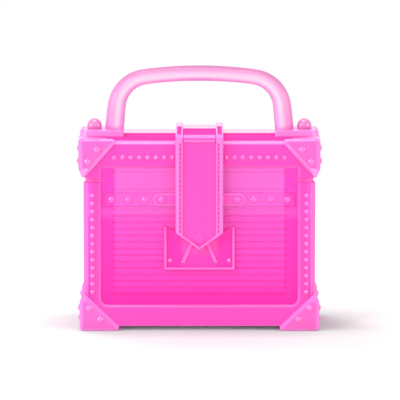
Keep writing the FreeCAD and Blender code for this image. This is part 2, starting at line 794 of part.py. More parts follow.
dress(flap, "Chamfer", "rail_edges", "rail_round / 2", rail_edge)
for side, sign in (("right", ""), ("left", "-")):
    stitch_points = [
        (f"{sign}({strap_half} - stitch_inset)", SHOULDER_Z),
        (f"{sign}({strap_half} - stitch_inset)", FLAP_TOP),
        (f"{sign}({strap_half} - stitch_inset - stitch_width)", FLAP_TOP),
        (f"{sign}({strap_half} - stitch_inset - stitch_width)", SHOULDER_Z),
    ]
    stitch_line = outline(flap, f"stitch_line_{side}", "XZ_Plane", STRAP_OUT, stitch_points)
    pocket(flap, stitch_line, "stitch_depth")
flap_pieces = [flap]
for sign in ("-", ""):
    start = f"-{strap_half}" if sign == "-" else STRAP_CENTRE_HALF
    spot = (start, f"-{STRAP_AXIS_OUT}", STRAP_AXIS_Z)
    flap_pieces.append(rod(f"flap_lug{sign}", "strap_lug_radius", "strap_rail", *spot, ALONG_X))
flap_solid = fuse("flap_solid", flap_pieces)
strap_pin_end = (f"-{strap_half}", f"-{STRAP_AXIS_OUT}", STRAP_AXIS_Z)
flap_bore = rod("flap_bore", "strap_pin_radius + pin_fit", "strap_width", *strap_pin_end, ALONG_X)
flap_socket = rod("flap_socket", "socket_radius", "socket_depth", "0", f"-{STRAP_BACK}", SNAP_Z, OUT_OF_FRONT)
strap_flap = cut("strap_flap", flap_solid, fuse("flap_holes", [flap_bore, flap_socket]))

snap_seat = FreeCAD.Vector(0, -mm(STRAP_FACE), mm(SNAP_Z))
border_reach = f"(snap_height - strap_tip - strap_tip_border) / (1 + ({tip_slope}) ^ 2) ^ 0.5"
snap_cap_radius = f"({border_reach} - snap_cap_gap)"
snap_cap = button("snap_cap", snap_cap_radius, "0", "snap_cap_height", snap_seat, -Y_AXIS)

# Strap saddle: the railed strip over the lid, with the barrel that holds the strap pin

RAIL_TOP = f"({LID_TOP} + strap_wall + strap_rail_rise)"
SADDLE_BACK = f"({FRONT} - saddle_back_gap)"
saddle_front = f"(-{STRAP_AXIS_OUT} + strap_lug_radius + turning_gap)"
barrel_half = f"({STRAP_CENTRE_HALF} - strap_side_gap)"
SADDLE_TOP = f"({LID_TOP} + strap_wall)"
barrel_end = (f"-{barrel_half}", f"-{STRAP_AXIS_OUT}", STRAP_AXIS_Z)
saddle_pieces = [
    block("saddle_strip", (f"-{strap_half}", saddle_front, LID_TOP), (strap_half, SADDLE_BACK, SADDLE_TOP)),
    block("saddle_tongue", (*barrel_end[:2], LID_TOP), (barrel_half, "0", SADDLE_TOP)),
    rod("saddle_barrel", "strap_barrel_radius", f"2 * {barrel_half}", *barrel_end, ALONG_X),
]
rail_top_level = mm(RAIL_TOP)


def rail_ridge(edge):
    """True for the two long upper edges of a rail."""
    return edge.BoundBox.ZMin > rail_top_level - TOUCH and edge.BoundBox.XLength < TOUCH


for side, start in (("left", f"-{strap_half}"), ("right", STRAP_CENTRE_HALF)):
    rail_far = (f"{start} + strap_rail", SADDLE_BACK, RAIL_TOP)
    rail = block(f"saddle_rail_{side}", (start, saddle_front, LID_TOP), rail_far)
    saddle_pieces.append(rounded(f"saddle_rail_{side}_soft", rail, "rail_round", rail_ridge))
saddle_bore = rod("saddle_bore", "strap_pin_radius + pin_fit", "strap_width", *strap_pin_end, ALONG_X)
strap_saddle = cut("strap_saddle", fuse("saddle_solid", saddle_pieces), saddle_bore)
strap_pin = rod("strap_pin", "strap_pin_radius", "strap_width", *strap_pin_end, ALONG_X)

# Rear hinges: a leaf on the base with two knuckles, a leaf on the lid with one, and a pin

base_knuckle = "((hinge_width - lid_knuckle) / 2 - knuckle_gap)"


def hinge(side, sign):
    """One hinge, centred at the given side of the rear."""
    middle = f"({sign}hinge_place)"
    low_x, high_x = f"({middle} - hinge_width / 2)", f"({middle} + hinge_width / 2)"
    leaf_top = f"({HINGE_Z} - knuckle_radius - leaf_gap)"
    pin_end = (low_x, HINGE_Y, HINGE_Z)
    bore = rod(f"hinge_bore_{side}", "hinge_pin_radius + pin_fit", "hinge_width", *pin_end, ALONG_X)
    base_pieces = [
        block(
            f"base_leaf_plate_{side}",
            (low_x, PANEL, f"{leaf_top} - base_leaf_height"),
            (high_x, f"{PANEL} + leaf_wall", leaf_top),
        )
    ]
    for name, start in (("outer", low_x), ("inner", f"({high_x} - {base_knuckle})")):
        knuckle_end = (start, HINGE_Y, HINGE_Z)
        knuckle = rod(f"base_knuckle_{name}_{side}", "knuckle_radius", base_knuckle, *knuckle_end, ALONG_X)
        base_pieces.append(knuckle)
        web_low = (start, f"{PANEL} + lid_gap", f"{leaf_top} - lid_gap")
        web_high = (f"{start} + {base_knuckle}", HINGE_Y, HINGE_Z)
        base_pieces.append(block(f"base_web_{name}_{side}", web_low, web_high))
    base_leaf = cut(f"base_hinge_leaf_{side}", fuse(f"base_leaf_{side}", base_pieces), bore)
    lid_low = f"({HINGE_Z} + knuckle_radius + leaf_gap)"
    knuckle_start = f"({middle} - lid_knuckle / 2)"
    leaf_face = f"({FRONT} + lid_leaf_wall)"
    plate_high = (high_x, leaf_face, f"{lid_low} + lid_leaf_height")
    web_high = (f"{knuckle_start} + lid_knuckle", leaf_face, f"{lid_low} + lid_gap")
    lid_pieces = [
        block(f"lid_leaf_plate_{side}", (low_x, FRONT, lid_low), plate_high),
        block(f"lid_web_{side}", (knuckle_start, FRONT, HINGE_Z), web_high),
        rod(f"lid_knuckle_{side}", "knuckle_radius", "lid_knuckle", knuckle_start, HINGE_Y, HINGE_Z, ALONG_X),
    ]
    lid_leaf = cut(f"lid_hinge_leaf_{side}", fuse(f"lid_leaf_{side}", lid_pieces), bore)
    pin = rod(f"hinge_pin_{side}", "hinge_pin_radius", "hinge_width", *pin_end, ALONG_X)
    return base_leaf, lid_leaf, pin


hinge_pieces = [*hinge("left", "-"), *hinge("right", "")]
leaf_rivet_places = [mm(f"hinge_place {sign} (hinge_width / 2 - leaf_rivet_side)") for sign in "+-"]


def leaf_rivets(name, face, level):
    """Two rivet heads on each of a pair of hinge leaves."""
    seats = [(FreeCAD.Vector(across, mm(face), mm(level)), Y_AXIS) for across in leaf_rivet_places]
    return heads(name, "leaf_rivet_radius", "leaf_rivet_height", mirrored_seats(seats, "x"))


base_leaf_middle = f"{HINGE_Z} - knuckle_radius - leaf_gap - base_leaf_height / 2"
lid_leaf_middle = f"{HINGE_Z} + knuckle_radius + leaf_gap + lid_leaf_height / 2"
base_hinge_rivets = leaf_rivets("base_hinge_rivets", f"{PANEL} + leaf_wall", base_leaf_middle)
lid_hinge_rivets = leaf_rivets("lid_hinge_rivets", f"{FRONT} + lid_leaf_wall", lid_leaf_middle)

# Handle: leaning legs, tight corners and a slightly crowned bar, thicker in the legs

FOOT_TOP = f"({LID_TOP} + foot_height)"


def handle_shape():
    """A many-sided bar along leaning legs, a bend at each corner and the crown, cut level with the feet."""
    lean = math.radians(mm("leg_lean"))
    bend, crown = mm("handle_corner_radius"), mm("handle_crown_radius")
    seat, sides = mm(FOOT_TOP), round(mm("handle_sides"))
    crown_centre = FreeCAD.Vector(0, 0, seat + mm("handle_rise") - crown)
    up = FreeCAD.Vector(-math.sin(lean), 0, math.cos(lean))
    out = FreeCAD.Vector(math.cos(lean), 0, math.sin(lean))
    foot = FreeCAD.Vector(mm(f"{SIDE} - leg_inset"), 0, seat) - up * mm("leg_radius")
    # The corner's centre lies one bend radius inside the leg and inside the crown's circle
    start = foot - out * bend - crown_centre
    climb = -start.dot(up) + math.sqrt(start.dot(up) ** 2 - start.dot(start) + (crown - bend) ** 2)
    bend_centre = foot - out * bend + up * climb
    rise_end = bend_centre - crown_centre
    last = math.atan2(rise_end.z, rise_end.x)
    bend_steps, crown_steps = round(mm("handle_bend_steps")), round(mm("handle_crown_steps"))
    bends = [lean + (last - lean) * i / bend_steps for i in range(bend_steps + 1)]
    crowns = [last + (math.pi - 2 * last) * i / crown_steps for i in range(1, crown_steps)]

    def section(radius, centre, reach, angle):
        """Corners of the bar where it stands at a reach and angle from a centre of the middle plane."""
        outward = FreeCAD.Vector(math.cos(angle), 0, math.sin(angle))
        spot = centre + outward * reach
        turns = [2 * math.pi * i / sides for i in range(sides)]
        return [spot + (outward * math.cos(t) + Y_AXIS * math.sin(t)) * radius for t in turns]

    leg, bar = mm("leg_radius"), mm("bar_radius")
    rings = [section(leg, foot, 0, lean)]
    for step, angle in enumerate(bends):
        rings.append(section(leg + (bar - leg) * step / bend_steps, bend_centre, bend, angle))
    middle = [section(bar, crown_centre, crown, angle) for angle in crowns]
    flipped = [[FreeCAD.Vector(-spot.x, spot.y, spot.z) for spot in corners] for corners in reversed(rings)]
    span = 4 * foot.x
    below = Part.makeBox(span, span, span, FreeCAD.Vector(-span / 2, -span / 2, seat - span))
    return skinned([*rings, *middle, *flipped], halved=True).cut(below)


handle = feature("handle", handle_shape())


foot_inner = f"({SIDE} - foot_reach)"
foot_far = f"({foot_inner} + foot_length)"
foot_body = doc.addObject("PartDesign::Body", "handle_foot_right")
foot_points = [
    (foot_inner, "-foot_depth / 2"),
    (foot_far, "-foot_depth / 2"),
    (foot_far, "foot_depth / 2"),
    (foot_inner, "foot_depth / 2"),
]
pad(foot_body, outline(foot_body, "foot_plan", "XY_Plane", LID_TOP, foot_points), "foot_height")
dress(foot_body, "Fillet", "foot_corners", "foot_round", upright)
foot_left = mirror("handle_foot_left", foot_body, X_AXIS)

dome_seat = FreeCAD.Vector(mm(f"{SIDE} - dome_inset"), 0, mm(FOOT_TOP))
dome_right = button("dome_stud_right", "dome_radius", "dome_collar", "dome_radius", dome_seat, Z_AXIS)
dome_left = mirror("dome_stud_left", dome_right, X_AXIS)

# Bobbin rack: a lift-out insert with a pocket at each end and a shelf between, seated for bobbins

RACK_LOW = f"({FLOOR_TOP} + rack_floor_gap)"
RACK_HIGH = f"({RACK_LOW} + rack_height)"
rack_end = f"({INNER_WIDTH} - rack_side_gap)"
rack_half = f"({INNER_DEPTH} - rack_side_gap)"
pocket_inner = f"({rack_end} - pocket_length)"
SHELF_LOW = f"({RACK_LOW} + shelf_height)"
SHELF_TOP = f"({SHELF_LOW} + shelf_wall)"
shelf_low, shelf_high = (f"-{pocket_inner}", f"-{rack_half}", SHELF_LOW), (pocket_inner, rack_half, SHELF_TOP)
rack_pieces = [block("rack_shelf", shelf_low, shelf_high)]
rack_hollows = []
for name, low_x, high_x in (("left", f"-{rack_end}", f"-{pocket_inner}"), ("right", pocket_inner, rack_end)):
    end_low, end_high = (low_x, f"-{rack_half}", RACK_LOW), (high_x, rack_half, RACK_HIGH)
    rack_pieces.append(block(f"rack_end_{name}", end_low, end_high))
    rack_hollows.append(
        block(
            f"rack_pocket_{name}",
            (f"{low_x} + rack_wall", f"-{rack_half} + rack_wall", f"{RACK_LOW} + rack_wall"),
            (f"{high_x} - rack_wall", f"{rack_half} - rack_wall", f"{RACK_HIGH} + rack_wall"),
        )
    )
for column in (-1, 0, 1):
    for row in (-1, 1):
        seat = rod(
            f"bobbin_seat_{column + 2}_{row + 2}",
            "bobbin_diameter / 2 + bobbin_gap",
            "shelf_wall",
            f"{column} * seat_pitch",
            f"{row} * seat_pitch / 2",
            f"{SHELF_TOP} - seat_depth",
        )
        rack_hollows.append(seat)
bobbin_rack = cut("bobbin_rack", fuse("rack_solid", rack_pieces), fuse("rack_hollow", rack_hollows))

doc.recompute()

SUBPARTS = [
    tub, lid, *base_caps, *lid_caps, base_corner_rivets, lid_corner_rivets, post_studs, lid_studs,
    front_belt, hasp_bar, belt_rivets, keeper, keeper_rivets, snap_stud, strap_flap, snap_cap,
    strap_saddle, strap_pin, *hinge_pieces, base_hinge_rivets, lid_hinge_rivets, handle,
    foot_body, foot_left, dome_right, dome_left, bobbin_rack,
]

for item in doc.Objects:
    if {"Invalid", "Error"} & set(item.State):
        raise RuntimeError(f"{item.Name} did not compute: {item.State}")
for item in SUBPARTS:
    if item.Shape.isNull() or not item.Shape.isValid():
        raise RuntimeError(f"{item.Label} has no valid shape")

os.makedirs("parts", exist_ok=True)
for item in SUBPARTS:
    item.Shape.exportStep(os.path.join("parts", f"{item.Label}.step"))
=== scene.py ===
import math

import bmesh
import bpy
from mathutils import Matrix, Vector


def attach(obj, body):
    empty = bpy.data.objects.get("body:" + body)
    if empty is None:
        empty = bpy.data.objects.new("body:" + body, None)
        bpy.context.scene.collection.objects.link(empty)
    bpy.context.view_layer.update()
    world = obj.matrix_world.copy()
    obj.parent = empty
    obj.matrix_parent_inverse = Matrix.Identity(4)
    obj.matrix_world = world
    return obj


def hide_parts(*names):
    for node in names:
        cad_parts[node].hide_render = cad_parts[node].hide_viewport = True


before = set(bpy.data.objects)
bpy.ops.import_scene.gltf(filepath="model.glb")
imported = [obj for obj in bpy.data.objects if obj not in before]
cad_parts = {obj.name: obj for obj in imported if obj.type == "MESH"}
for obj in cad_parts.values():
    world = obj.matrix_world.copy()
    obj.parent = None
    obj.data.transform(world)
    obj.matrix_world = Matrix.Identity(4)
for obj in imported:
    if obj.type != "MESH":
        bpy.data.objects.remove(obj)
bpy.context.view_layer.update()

# Base tub: the deep half of the box, with a floor, four posts, sunk ribbed panels and a rim for the lid.
# It is one injection moulding in hot-pink plastic, a little clear; its panels carry painted light and shade,
# paler in the middle and top, darker at the ends and towards the bottom.
# Caps, belt, keeper and hinges are riveted to it.
TUB_PINKS = ((1.0, 0.092, 0.585), (1.0, 0.08, 0.565))
TUB_EDGE_PINKS = ((1.0, 0.17, 0.63), (1.0, 0.15, 0.61))
TUB_CLEARNESS = 0.12
TUB_ROUND = 0.00035
FLOW_NOISE = (60.0, 3.0)
HAZE_NOISE = (900.0, 2.0)


def new_group(name, inputs, outputs):
    """An empty shader group with its sockets, each a label and a kind."""
    group = bpy.data.node_groups.new(name, "ShaderNodeTree")
    for way, sockets in (("INPUT", inputs), ("OUTPUT", outputs)):
        for label, kind in sockets:
            group.interface.new_socket(label, in_out=way, socket_type="NodeSocket" + kind)
    return group


def moulding_group():
    """Slow flow streaks in the tint, a fine haze in the gloss and the faint ripple of a moulded face."""
    group = new_group(
        "moulded_plastic",
        (("Tint", "Color"), ("Deep Tint", "Color"), ("Gloss", "Float"), ("Haze", "Float")),
        (("Colour", "Color"), ("Roughness", "Float"), ("Height", "Float")),
    )
    nodes, links = group.nodes, group.links
    given, put = nodes.new("NodeGroupInput"), nodes.new("NodeGroupOutput")
    place = nodes.new("ShaderNodeTexCoord")
    flow, fine = nodes.new("ShaderNodeTexNoise"), nodes.new("ShaderNodeTexNoise")
    for noise, (scale, detail) in ((flow, FLOW_NOISE), (fine, HAZE_NOISE)):
        noise.inputs["Scale"].default_value = scale
        noise.inputs["Detail"].default_value = detail
        links.new(place.outputs["Object"], noise.inputs["Vector"])
    tint = nodes.new("ShaderNodeMix")
    tint.data_type = "RGBA"
    links.new(flow.outputs["Fac"], tint.inputs["Factor"])
    links.new(given.outputs["Tint"], tint.inputs["A"])
    links.new(given.outputs["Deep Tint"], tint.inputs["B"])
    links.new(tint.outputs["Result"], put.inputs["Colour"])
    gloss = nodes.new("ShaderNodeMapRange")
    links.new(fine.outputs["Fac"], gloss.inputs["Value"])
    links.new(given.outputs["Gloss"], gloss.inputs["To Min"])
    links.new(given.outputs["Haze"], gloss.inputs["To Max"])
    links.new(gloss.outputs["Result"], put.inputs["Roughness"])
    links.new(flow.outputs["Fac"], put.inputs["Height"])
    return group


moulded = moulding_group()
ZONE_LOW, ZONE_HIGH = 0.011, 0.075
STREAK_SHADE = (1.0, 0.88, 0.97)


def set_stops(ramp, stops):
    """Gives a colour ramp its stops, each a place from 0 to 1 and a colour."""
    spots = ramp.color_ramp.elements
    while len(spots) < len(stops):
        spots.new(0.5)
    for spot, (place, colour) in zip(spots, stops):
        spot.position = place
        spot.color = (*colour, 1.0)


def multiplied(nodes, links, colour):
    """A node that takes a colour and multiplies it by the colour on its B socket."""
    node = nodes.new("ShaderNodeMix")
    node.data_type = "RGBA"
    node.blend_type = "MULTIPLY"
    node.inputs["Factor"].default_value = 1.0
    links.new(colour, node.inputs["A"])
    return node


def light_and_shade_by_height(name, middle_zones, end_zones, line, blur):
    """Painted light and shade that changes with height, by one run of stops in the middle and another past a
    line.
    """
    group = new_group(name, (("Shade", "Color"),), (("Tint", "Color"), ("Deep Tint", "Color")))
    nodes, links = group.nodes, group.links
    given, put = nodes.new("NodeGroupInput"), nodes.new("NodeGroupOutput")
    place, axes = nodes.new("ShaderNodeTexCoord"), nodes.new("ShaderNodeSeparateXYZ")
    links.new(place.outputs["Object"], axes.inputs["Vector"])
    level = nodes.new("ShaderNodeMapRange")
    level.inputs["From Min"].default_value = ZONE_LOW
    level.inputs["From Max"].default_value = ZONE_HIGH
    links.new(axes.outputs["Z"], level.inputs["Value"])
    both = nodes.new("ShaderNodeMix")
    both.data_type = "RGBA"
    for zones, socket in ((middle_zones, "A"), (end_zones, "B")):
        ramp = nodes.new("ShaderNodeValToRGB")
        set_stops(ramp, [((height - ZONE_LOW) / (ZONE_HIGH - ZONE_LOW), tint) for height, tint in zones])
        links.new(level.outputs["Result"], ramp.inputs["Fac"])
        links.new(ramp.outputs["Color"], both.inputs[socket])
    sideways, end = nodes.new("ShaderNodeMath"), nodes.new("ShaderNodeMapRange")
    sideways.operation = "ABSOLUTE"
    links.new(axes.outputs["X"], sideways.inputs[0])
    end.interpolation_type = "SMOOTHSTEP"
    end.inputs["From Min"].default_value = line - blur
    end.inputs["From Max"].default_value = line + blur
    links.new(sideways.outputs["Value"], end.inputs["Value"])
    links.new(end.outputs["Result"], both.inputs["Factor"])
    shaded = multiplied(nodes, links, both.outputs["Result"])
    links.new(given.outputs["Shade"], shaded.inputs["B"])
    links.new(shaded.outputs["Result"], put.inputs["Tint"])
    deep = multiplied(nodes, links, shaded.outputs["Result"])
    deep.inputs["B"].default_value = (*STREAK_SHADE, 1.0)
    links.new(deep.outputs["Result"], put.inputs["Deep Tint"])
    return group


SKIN_COAT, COAT_IOR, COAT_ROUGHNESS = 0.4, 1.5, 0.06
SKIN_SPECULAR = 0.1
GLOSS, HAZE = 0.3, 0.4
RIPPLE_STRENGTH, RIPPLE_HEIGHT = 0.04, 0.0005


def dense_plastic(
    name, pinks=None, paint=None, shade=None, coat=SKIN_COAT, coat_ior=COAT_IOR, specular=SKIN_SPECULAR,
    gloss=GLOSS, haze=HAZE,
):
    """Plastic that lets no light through, under a glossy skin, tinted by two pinks or by a paint group."""
    material = bpy.data.materials.new(name)
    material.use_nodes = True
    nodes, links = material.node_tree.nodes, material.node_tree.links
    mould = nodes.new("ShaderNodeGroup")
    mould.node_tree = moulded
    mould.inputs["Gloss"].default_value = gloss
    mould.inputs["Haze"].default_value = haze
    bump = nodes.new("ShaderNodeBump")
    bump.inputs["Strength"].default_value = RIPPLE_STRENGTH
    bump.inputs["Distance"].default_value = RIPPLE_HEIGHT
    links.new(mould.outputs["Height"], bump.inputs["Height"])
    skin = nodes["Principled BSDF"]
    skin.inputs["Specular IOR Level"].default_value = specular
    skin.inputs["Coat Weight"].default_value = coat
    skin.inputs["Coat IOR"].default_value = coat_ior
    skin.inputs["Coat Roughness"].default_value = COAT_ROUGHNESS
    links.new(mould.outputs["Colour"], skin.inputs["Base Color"])
    links.new(mould.outputs["Roughness"], skin.inputs["Roughness"])
    links.new(bump.outputs["Normal"], skin.inputs["Normal"])
    if paint is None:
        for label, pink in zip(("Tint", "Deep Tint"), pinks):
            mould.inputs[label].default_value = (*pink, 1.0)
        return material
    painted = nodes.new("ShaderNodeGroup")
    painted.node_tree = paint
    if shade is not None:
        painted.inputs["Shade"].default_value = (*shade, 1.0)
    for label in ("Tint", "Deep Tint"):
        links.new(painted.outputs[label], mould.inputs[label])
    return material


CLEAR_IOR = 1.15
INSIDE_ROUGHNESS = 0.2


def clear_plastic(name, clearness, pinks=None, paint=None, shade=None):
    """Tinted plastic in a thin wall: most light stays in the skin as colour, the rest passes through."""
    material = dense_plastic(name, pinks, paint, shade)
    nodes, links = material.node_tree.nodes, material.node_tree.links
    skin, inside = nodes["Principled BSDF"], nodes.new("ShaderNodeBsdfPrincipled")
    skin.inputs["IOR"].default_value = CLEAR_IOR
    skin.inputs["Transmission Weight"].default_value = clearness
    inside.inputs["Base Color"].default_value = (1.0, 1.0, 1.0, 1.0)
    inside.inputs["IOR"].default_value = CLEAR_IOR
    inside.inputs["Roughness"].default_value = INSIDE_ROUGHNESS
    inside.inputs["Transmission Weight"].default_value = 1.0
    both = nodes.new("ShaderNodeMixShader")
    side = nodes.new("ShaderNodeNewGeometry")
    links.new(side.outputs["Backfacing"], both.inputs["Fac"])
    links.new(skin.outputs["BSDF"], both.inputs[1])
    links.new(inside.outputs["BSDF"], both.inputs[2])
    links.new(both.outputs["Shader"], nodes["Material Output"].inputs["Surface"])
    return material


AIR_GAP = 0.00004
WELD = 1e-6
FLAT = math.radians(0.5)


def packed_solid(node, whole_faces=False, joined=True, gap=AIR_GAP):
    """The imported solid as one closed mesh, drawn in by the air gap that lies between two pieces."""
    shape = bmesh.new()
    shape.from_mesh(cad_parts[node].data)
    bmesh.ops.remove_doubles(shape, verts=shape.verts, dist=WELD)
    if whole_faces:
        bmesh.ops.dissolve_limit(
            shape, angle_limit=FLAT, verts=shape.verts, edges=shape.edges, delimit={"NORMAL"}
        )
    elif joined:
        bmesh.ops.join_triangles(
            shape, faces=shape.faces, angle_face_threshold=FLAT, angle_shape_threshold=math.pi
        )
    shape.normal_update()
    for corner in shape.verts:
        corner.co -= corner.normal * gap
    return shape


def score(shape, place, direction):
    """Cuts every face that a plane crosses in two, so that each side can have a material of its own."""
    parts = [*shape.verts, *shape.edges, *shape.faces]
    bmesh.ops.bisect_plane(shape, geom=parts, plane_co=place, plane_no=direction)


def show(shape, name, materials, body, slot, *nodes):
    """Puts a finished mesh into the scene on its body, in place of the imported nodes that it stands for."""
    for face in shape.faces:
        face.smooth = True
    mesh = bpy.data.meshes.new(name)
    shape.to_mesh(mesh)
    shape.free()
    for material in materials:
        mesh.materials.append(material)
    piece = bpy.data.objects.new(name, mesh)
    bpy.context.scene.collection.objects.link(piece)
    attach(piece, body)
    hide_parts(*nodes)
    return piece


SHARP_ANGLE = math.radians(28)
SHORTEST_ROUNDED = 0.0012
SLANT = 0.97
EDGE = 1
ROUND_STEPS = 2


def round_edges(shape, shortest=SHORTEST_ROUNDED):
    """Marks the sharp outer edges for rounding and gives the slanted faces the second, paler material, a
    painted highlight.
    """
    weight = shape.edges.layers.float.new("bevel_weight_edge")
    for edge in shape.edges:
        if edge.calc_face_angle(0) > SHARP_ANGLE:
            edge.smooth = False
            if edge.is_convex and edge.calc_length() > shortest:
                edge[weight] = 1.0
    for face in shape.faces:
        if max(abs(part) for part in face.normal) < SLANT:
            face.material_index = EDGE


def leave_sharp(shape, edges):
    """Takes edges out of the rounding again."""
    weight = shape.edges.layers.float["bevel_weight_edge"]
    for edge in edges:
        edge[weight] = 0.0


def moulded_piece(shape, name, materials, body, slot, round_width, *nodes, rim=-1):
    """A finished mesh with its outer edges rounded over, as a mould leaves them."""
    piece = show(shape, name, materials, body, slot, *nodes)
    rounds = piece.modifiers.new("mould_rounds", "BEVEL")
    rounds.limit_method = "WEIGHT"
    rounds.width = round_width
    rounds.segments = ROUND_STEPS
    rounds.use_clamp_overlap = False
    rounds.harden_normals = True
    rounds.material = rim
    return piece


def moulded_copy(node, name, materials, body, slot, round_width, whole_faces=False):
    """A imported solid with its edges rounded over."""
    shape = packed_solid(node, whole_faces)
    round_edges(shape)
    return moulded_piece(shape, name, materials, body, slot, round_width, node)


GROOVE_FLOOR = 0.0012
LEVEL_SLACK = 3 * AIR_GAP


def mark_panels(shape, depth, panel, groove):
    """Gives the sunk panels of a moulding and their grooves their own materials, and no rounding."""
    reach = [max(corner.co[k] for corner in shape.verts) for k in range(2)]
    for face in shape.faces:
        middle = face.calc_center_median()
        for k in range(2):
            sunk = reach[k] - abs(middle[k])
            outward = face.normal[k] * middle[k] > 0 and abs(face.normal[k]) > SLANT
            level = abs(face.normal.z) > SLANT or abs(face.normal[1 - k]) > SLANT
            if depth - LEVEL_SLACK < sunk < depth + GROOVE_FLOOR and (outward or level):
                face.material_index = panel if outward and sunk < depth + LEVEL_SLACK else groove
    inner_edges = [
        edge for edge in shape.edges
        if all(face.material_index in (panel, groove) for face in edge.link_faces)
    ]
    leave_sharp(shape, inner_edges)


POCKET_LINE, POCKET_BLUR = 0.0382, 0.0007
# Painted light and shade by height: paler in the middle and top where light comes through, darker towards
# the bottom and past the pocket line, and lifted beside the belt to offset its shadow.
MIDDLE_ZONES = (
    (0.0125, (1.0, 0.027, 0.47)), (0.017, (1.0, 0.031, 0.48)), (0.0195, (1.0, 0.056, 0.55)),
    (0.051, (1.0, 0.105, 0.63)), (0.0535, (1.0, 0.14, 0.67)), (0.0563, (1.0, 0.195, 0.76)),
    (0.0628, (1.0, 0.215, 0.78)), (0.0644, (1.0, 0.168, 0.7)), (0.074, (1.0, 0.172, 0.7)),
)
END_ZONES = (
    (0.0125, (1.0, 0.025, 0.47)), (0.0195, (1.0, 0.035, 0.49)), (0.05, (1.0, 0.05, 0.55)),
    (0.0535, (1.0, 0.11, 0.62)), (0.0555, (1.0, 0.088, 0.68)), (0.0628, (1.0, 0.092, 0.7)),
    (0.0644, (1.0, 0.068, 0.62)), (0.074, (1.0, 0.067, 0.59)),
)
# GROOVE_SHADE paints the groove walls lighter, painted light that softens the grooves' shade.
PLAIN, GROOVE_SHADE = (1.0, 1.0, 1.0), (1.0, 1.2, 1.08)
PANEL_DEPTH = 0.0016
TUB_PANEL, TUB_UNDER, TUB_GROOVE = 2, 3, 4
UNDERSIDE, SHOULDER = 0.0022, 0.0694
NECK_LINE, NECK_LOW = 0.0443, 0.0673
TOUCH = 0.0001
panel_light_and_shade = light_and_shade_by_height("panel_light_and_shade", MIDDLE_ZONES, END_ZONES, POCKET_LINE, POCKET_BLUR)
tub_plastic = clear_plastic("tub_plastic", TUB_CLEARNESS, TUB_PINKS)
# The paler edge pink is a painted highlight on slanted faces and painted light on the neck.
tub_edge_painted_light = clear_plastic("tub_edge_painted_light", TUB_CLEARNESS, TUB_EDGE_PINKS)
panel_plastic = clear_plastic("panel_plastic", TUB_CLEARNESS, paint=panel_light_and_shade, shade=PLAIN)
groove_plastic = clear_plastic("groove_plastic", TUB_CLEARNESS, paint=panel_light_and_shade, shade=GROOVE_SHADE)
# The underside is painted nearly colourless instead of pink, as painted light, so that it throws little pink
# on the table and the shade under the box stays grey.
UNDER_PINKS = ((0.97, 0.88, 0.93), (0.96, 0.86, 0.92))
under_plastic = dense_plastic("under_plastic", UNDER_PINKS, coat=0.0)
tub_shape = packed_solid("base_tub")
for x in (-NECK_LINE, NECK_LINE):
    score(tub_shape, (x, 0, 0), (1, 0, 0))
round_edges(tub_shape)
mark_panels(tub_shape, PANEL_DEPTH, TUB_PANEL, TUB_GROOVE)
shoulder_edges = [
    edge for edge in tub_shape.edges
    if all(abs(corner.co.z - SHOULDER) < TOUCH for corner in edge.verts)
]
leave_sharp(tub_shape, shoulder_edges)
# The neck past the neck line takes the paler edge pink instead of the dark end paint: painted light that
# lifts the shade under the lid.
for face in tub_shape.faces:
    middle = face.calc_center_median()
    if face.normal.z < -SLANT and middle.z < UNDERSIDE:
        face.material_index = TUB_UNDER
    elif face.material_index == TUB_PANEL and middle.z > NECK_LOW and abs(middle.x) > NECK_LINE:
        face.material_index = EDGE
tub_materials = (tub_plastic, tub_edge_painted_light, panel_plastic, under_plastic, groove_plastic)
moulded_piece(tub_shape, "tub_moulding", tub_materials, "base", "shell_plastic", TUB_ROUND, "base_tub")

# Bobbin rack: the lift-out tray, with round seats for bobbins on a shelf between two end pockets.
# It is moulded in a paler, clearer pink than the tub and stands loose on the tub's floor.
RACK_PINKS = ((1.0, 0.32, 0.76), (1.0, 0.28, 0.74))
RACK_CLEARNESS = 0.25
rack_plastic = clear_plastic("rack_plastic", RACK_CLEARNESS, RACK_PINKS)
rack_materials = (rack_plastic, rack_plastic)
moulded_copy("bobbin_rack", "rack_moulding", rack_materials, "base", "rack_plastic", TUB_ROUND)

# Corner caps: thick guards over the eight corners, bevelled along their long edge and sloped at their tips.
# Each is a moulding in dense pink plastic, held by rivets, and the lower four are also the feet.
CAP_PINKS = ((1.0, 0.15, 0.58), (1.0, 0.13, 0.56))
CAP_EDGE_PINKS = ((1.0, 0.225, 0.69), (1.0, 0.2, 0.67))
CAP_UNDER_PINKS = ((1.0, 0.33, 0.8), (1.0, 0.3, 0.78))
CAP_ROUND = 0.0001
CAP_UNDER, UNDER_SLOPE = 2, -0.1
cap_plastic = dense_plastic("cap_plastic", CAP_PINKS)
# The paler pinks on the bevels and on the down-turned slopes are painted highlights.
cap_edge_highlight = dense_plastic("cap_edge_highlight", CAP_EDGE_PINKS)
cap_under_highlight = dense_plastic("cap_under_highlight", CAP_UNDER_PINKS)
cap_materials = (cap_plastic, cap_edge_highlight, cap_under_highlight)
for body in ("base", "lid"):
    for end in ("front", "rear"):
        for side in ("left", "right"):
            node = f"{body}_corner_{end}_{side}"
            cap_shape = packed_solid(node)
            round_edges(cap_shape)
            for face in cap_shape.faces:
                if face.material_index == EDGE and face.normal.z < UNDER_SLOPE:
                    face.material_index = CAP_UNDER
            cap_name = node.replace("corner", "cap")
            moulded_piece(cap_shape, cap_name, cap_materials, body, "trim_plastic", CAP_ROUND, node)

# Rivets and studs: small domed heads on the caps, posts, belt, keeper, hinges and the lid's band.
# They are moulded in glossy pink plastic and sit on the faces that they hold down or trim.
HEAD_PINKS = ((1.0, 0.17, 0.62), (1.0, 0.15, 0.6))
TRIM_PINKS = ((1.0, 0.11, 0.58), (1.0, 0.1, 0.56))
HEAD_COAT, HEAD_COAT_IOR = 1.0, 1.8
HEAD_SEGMENTS, HEAD_RINGS = 20, 6
HEAD_CROWN, HEAD_FLANGE = 0.08, 0.1


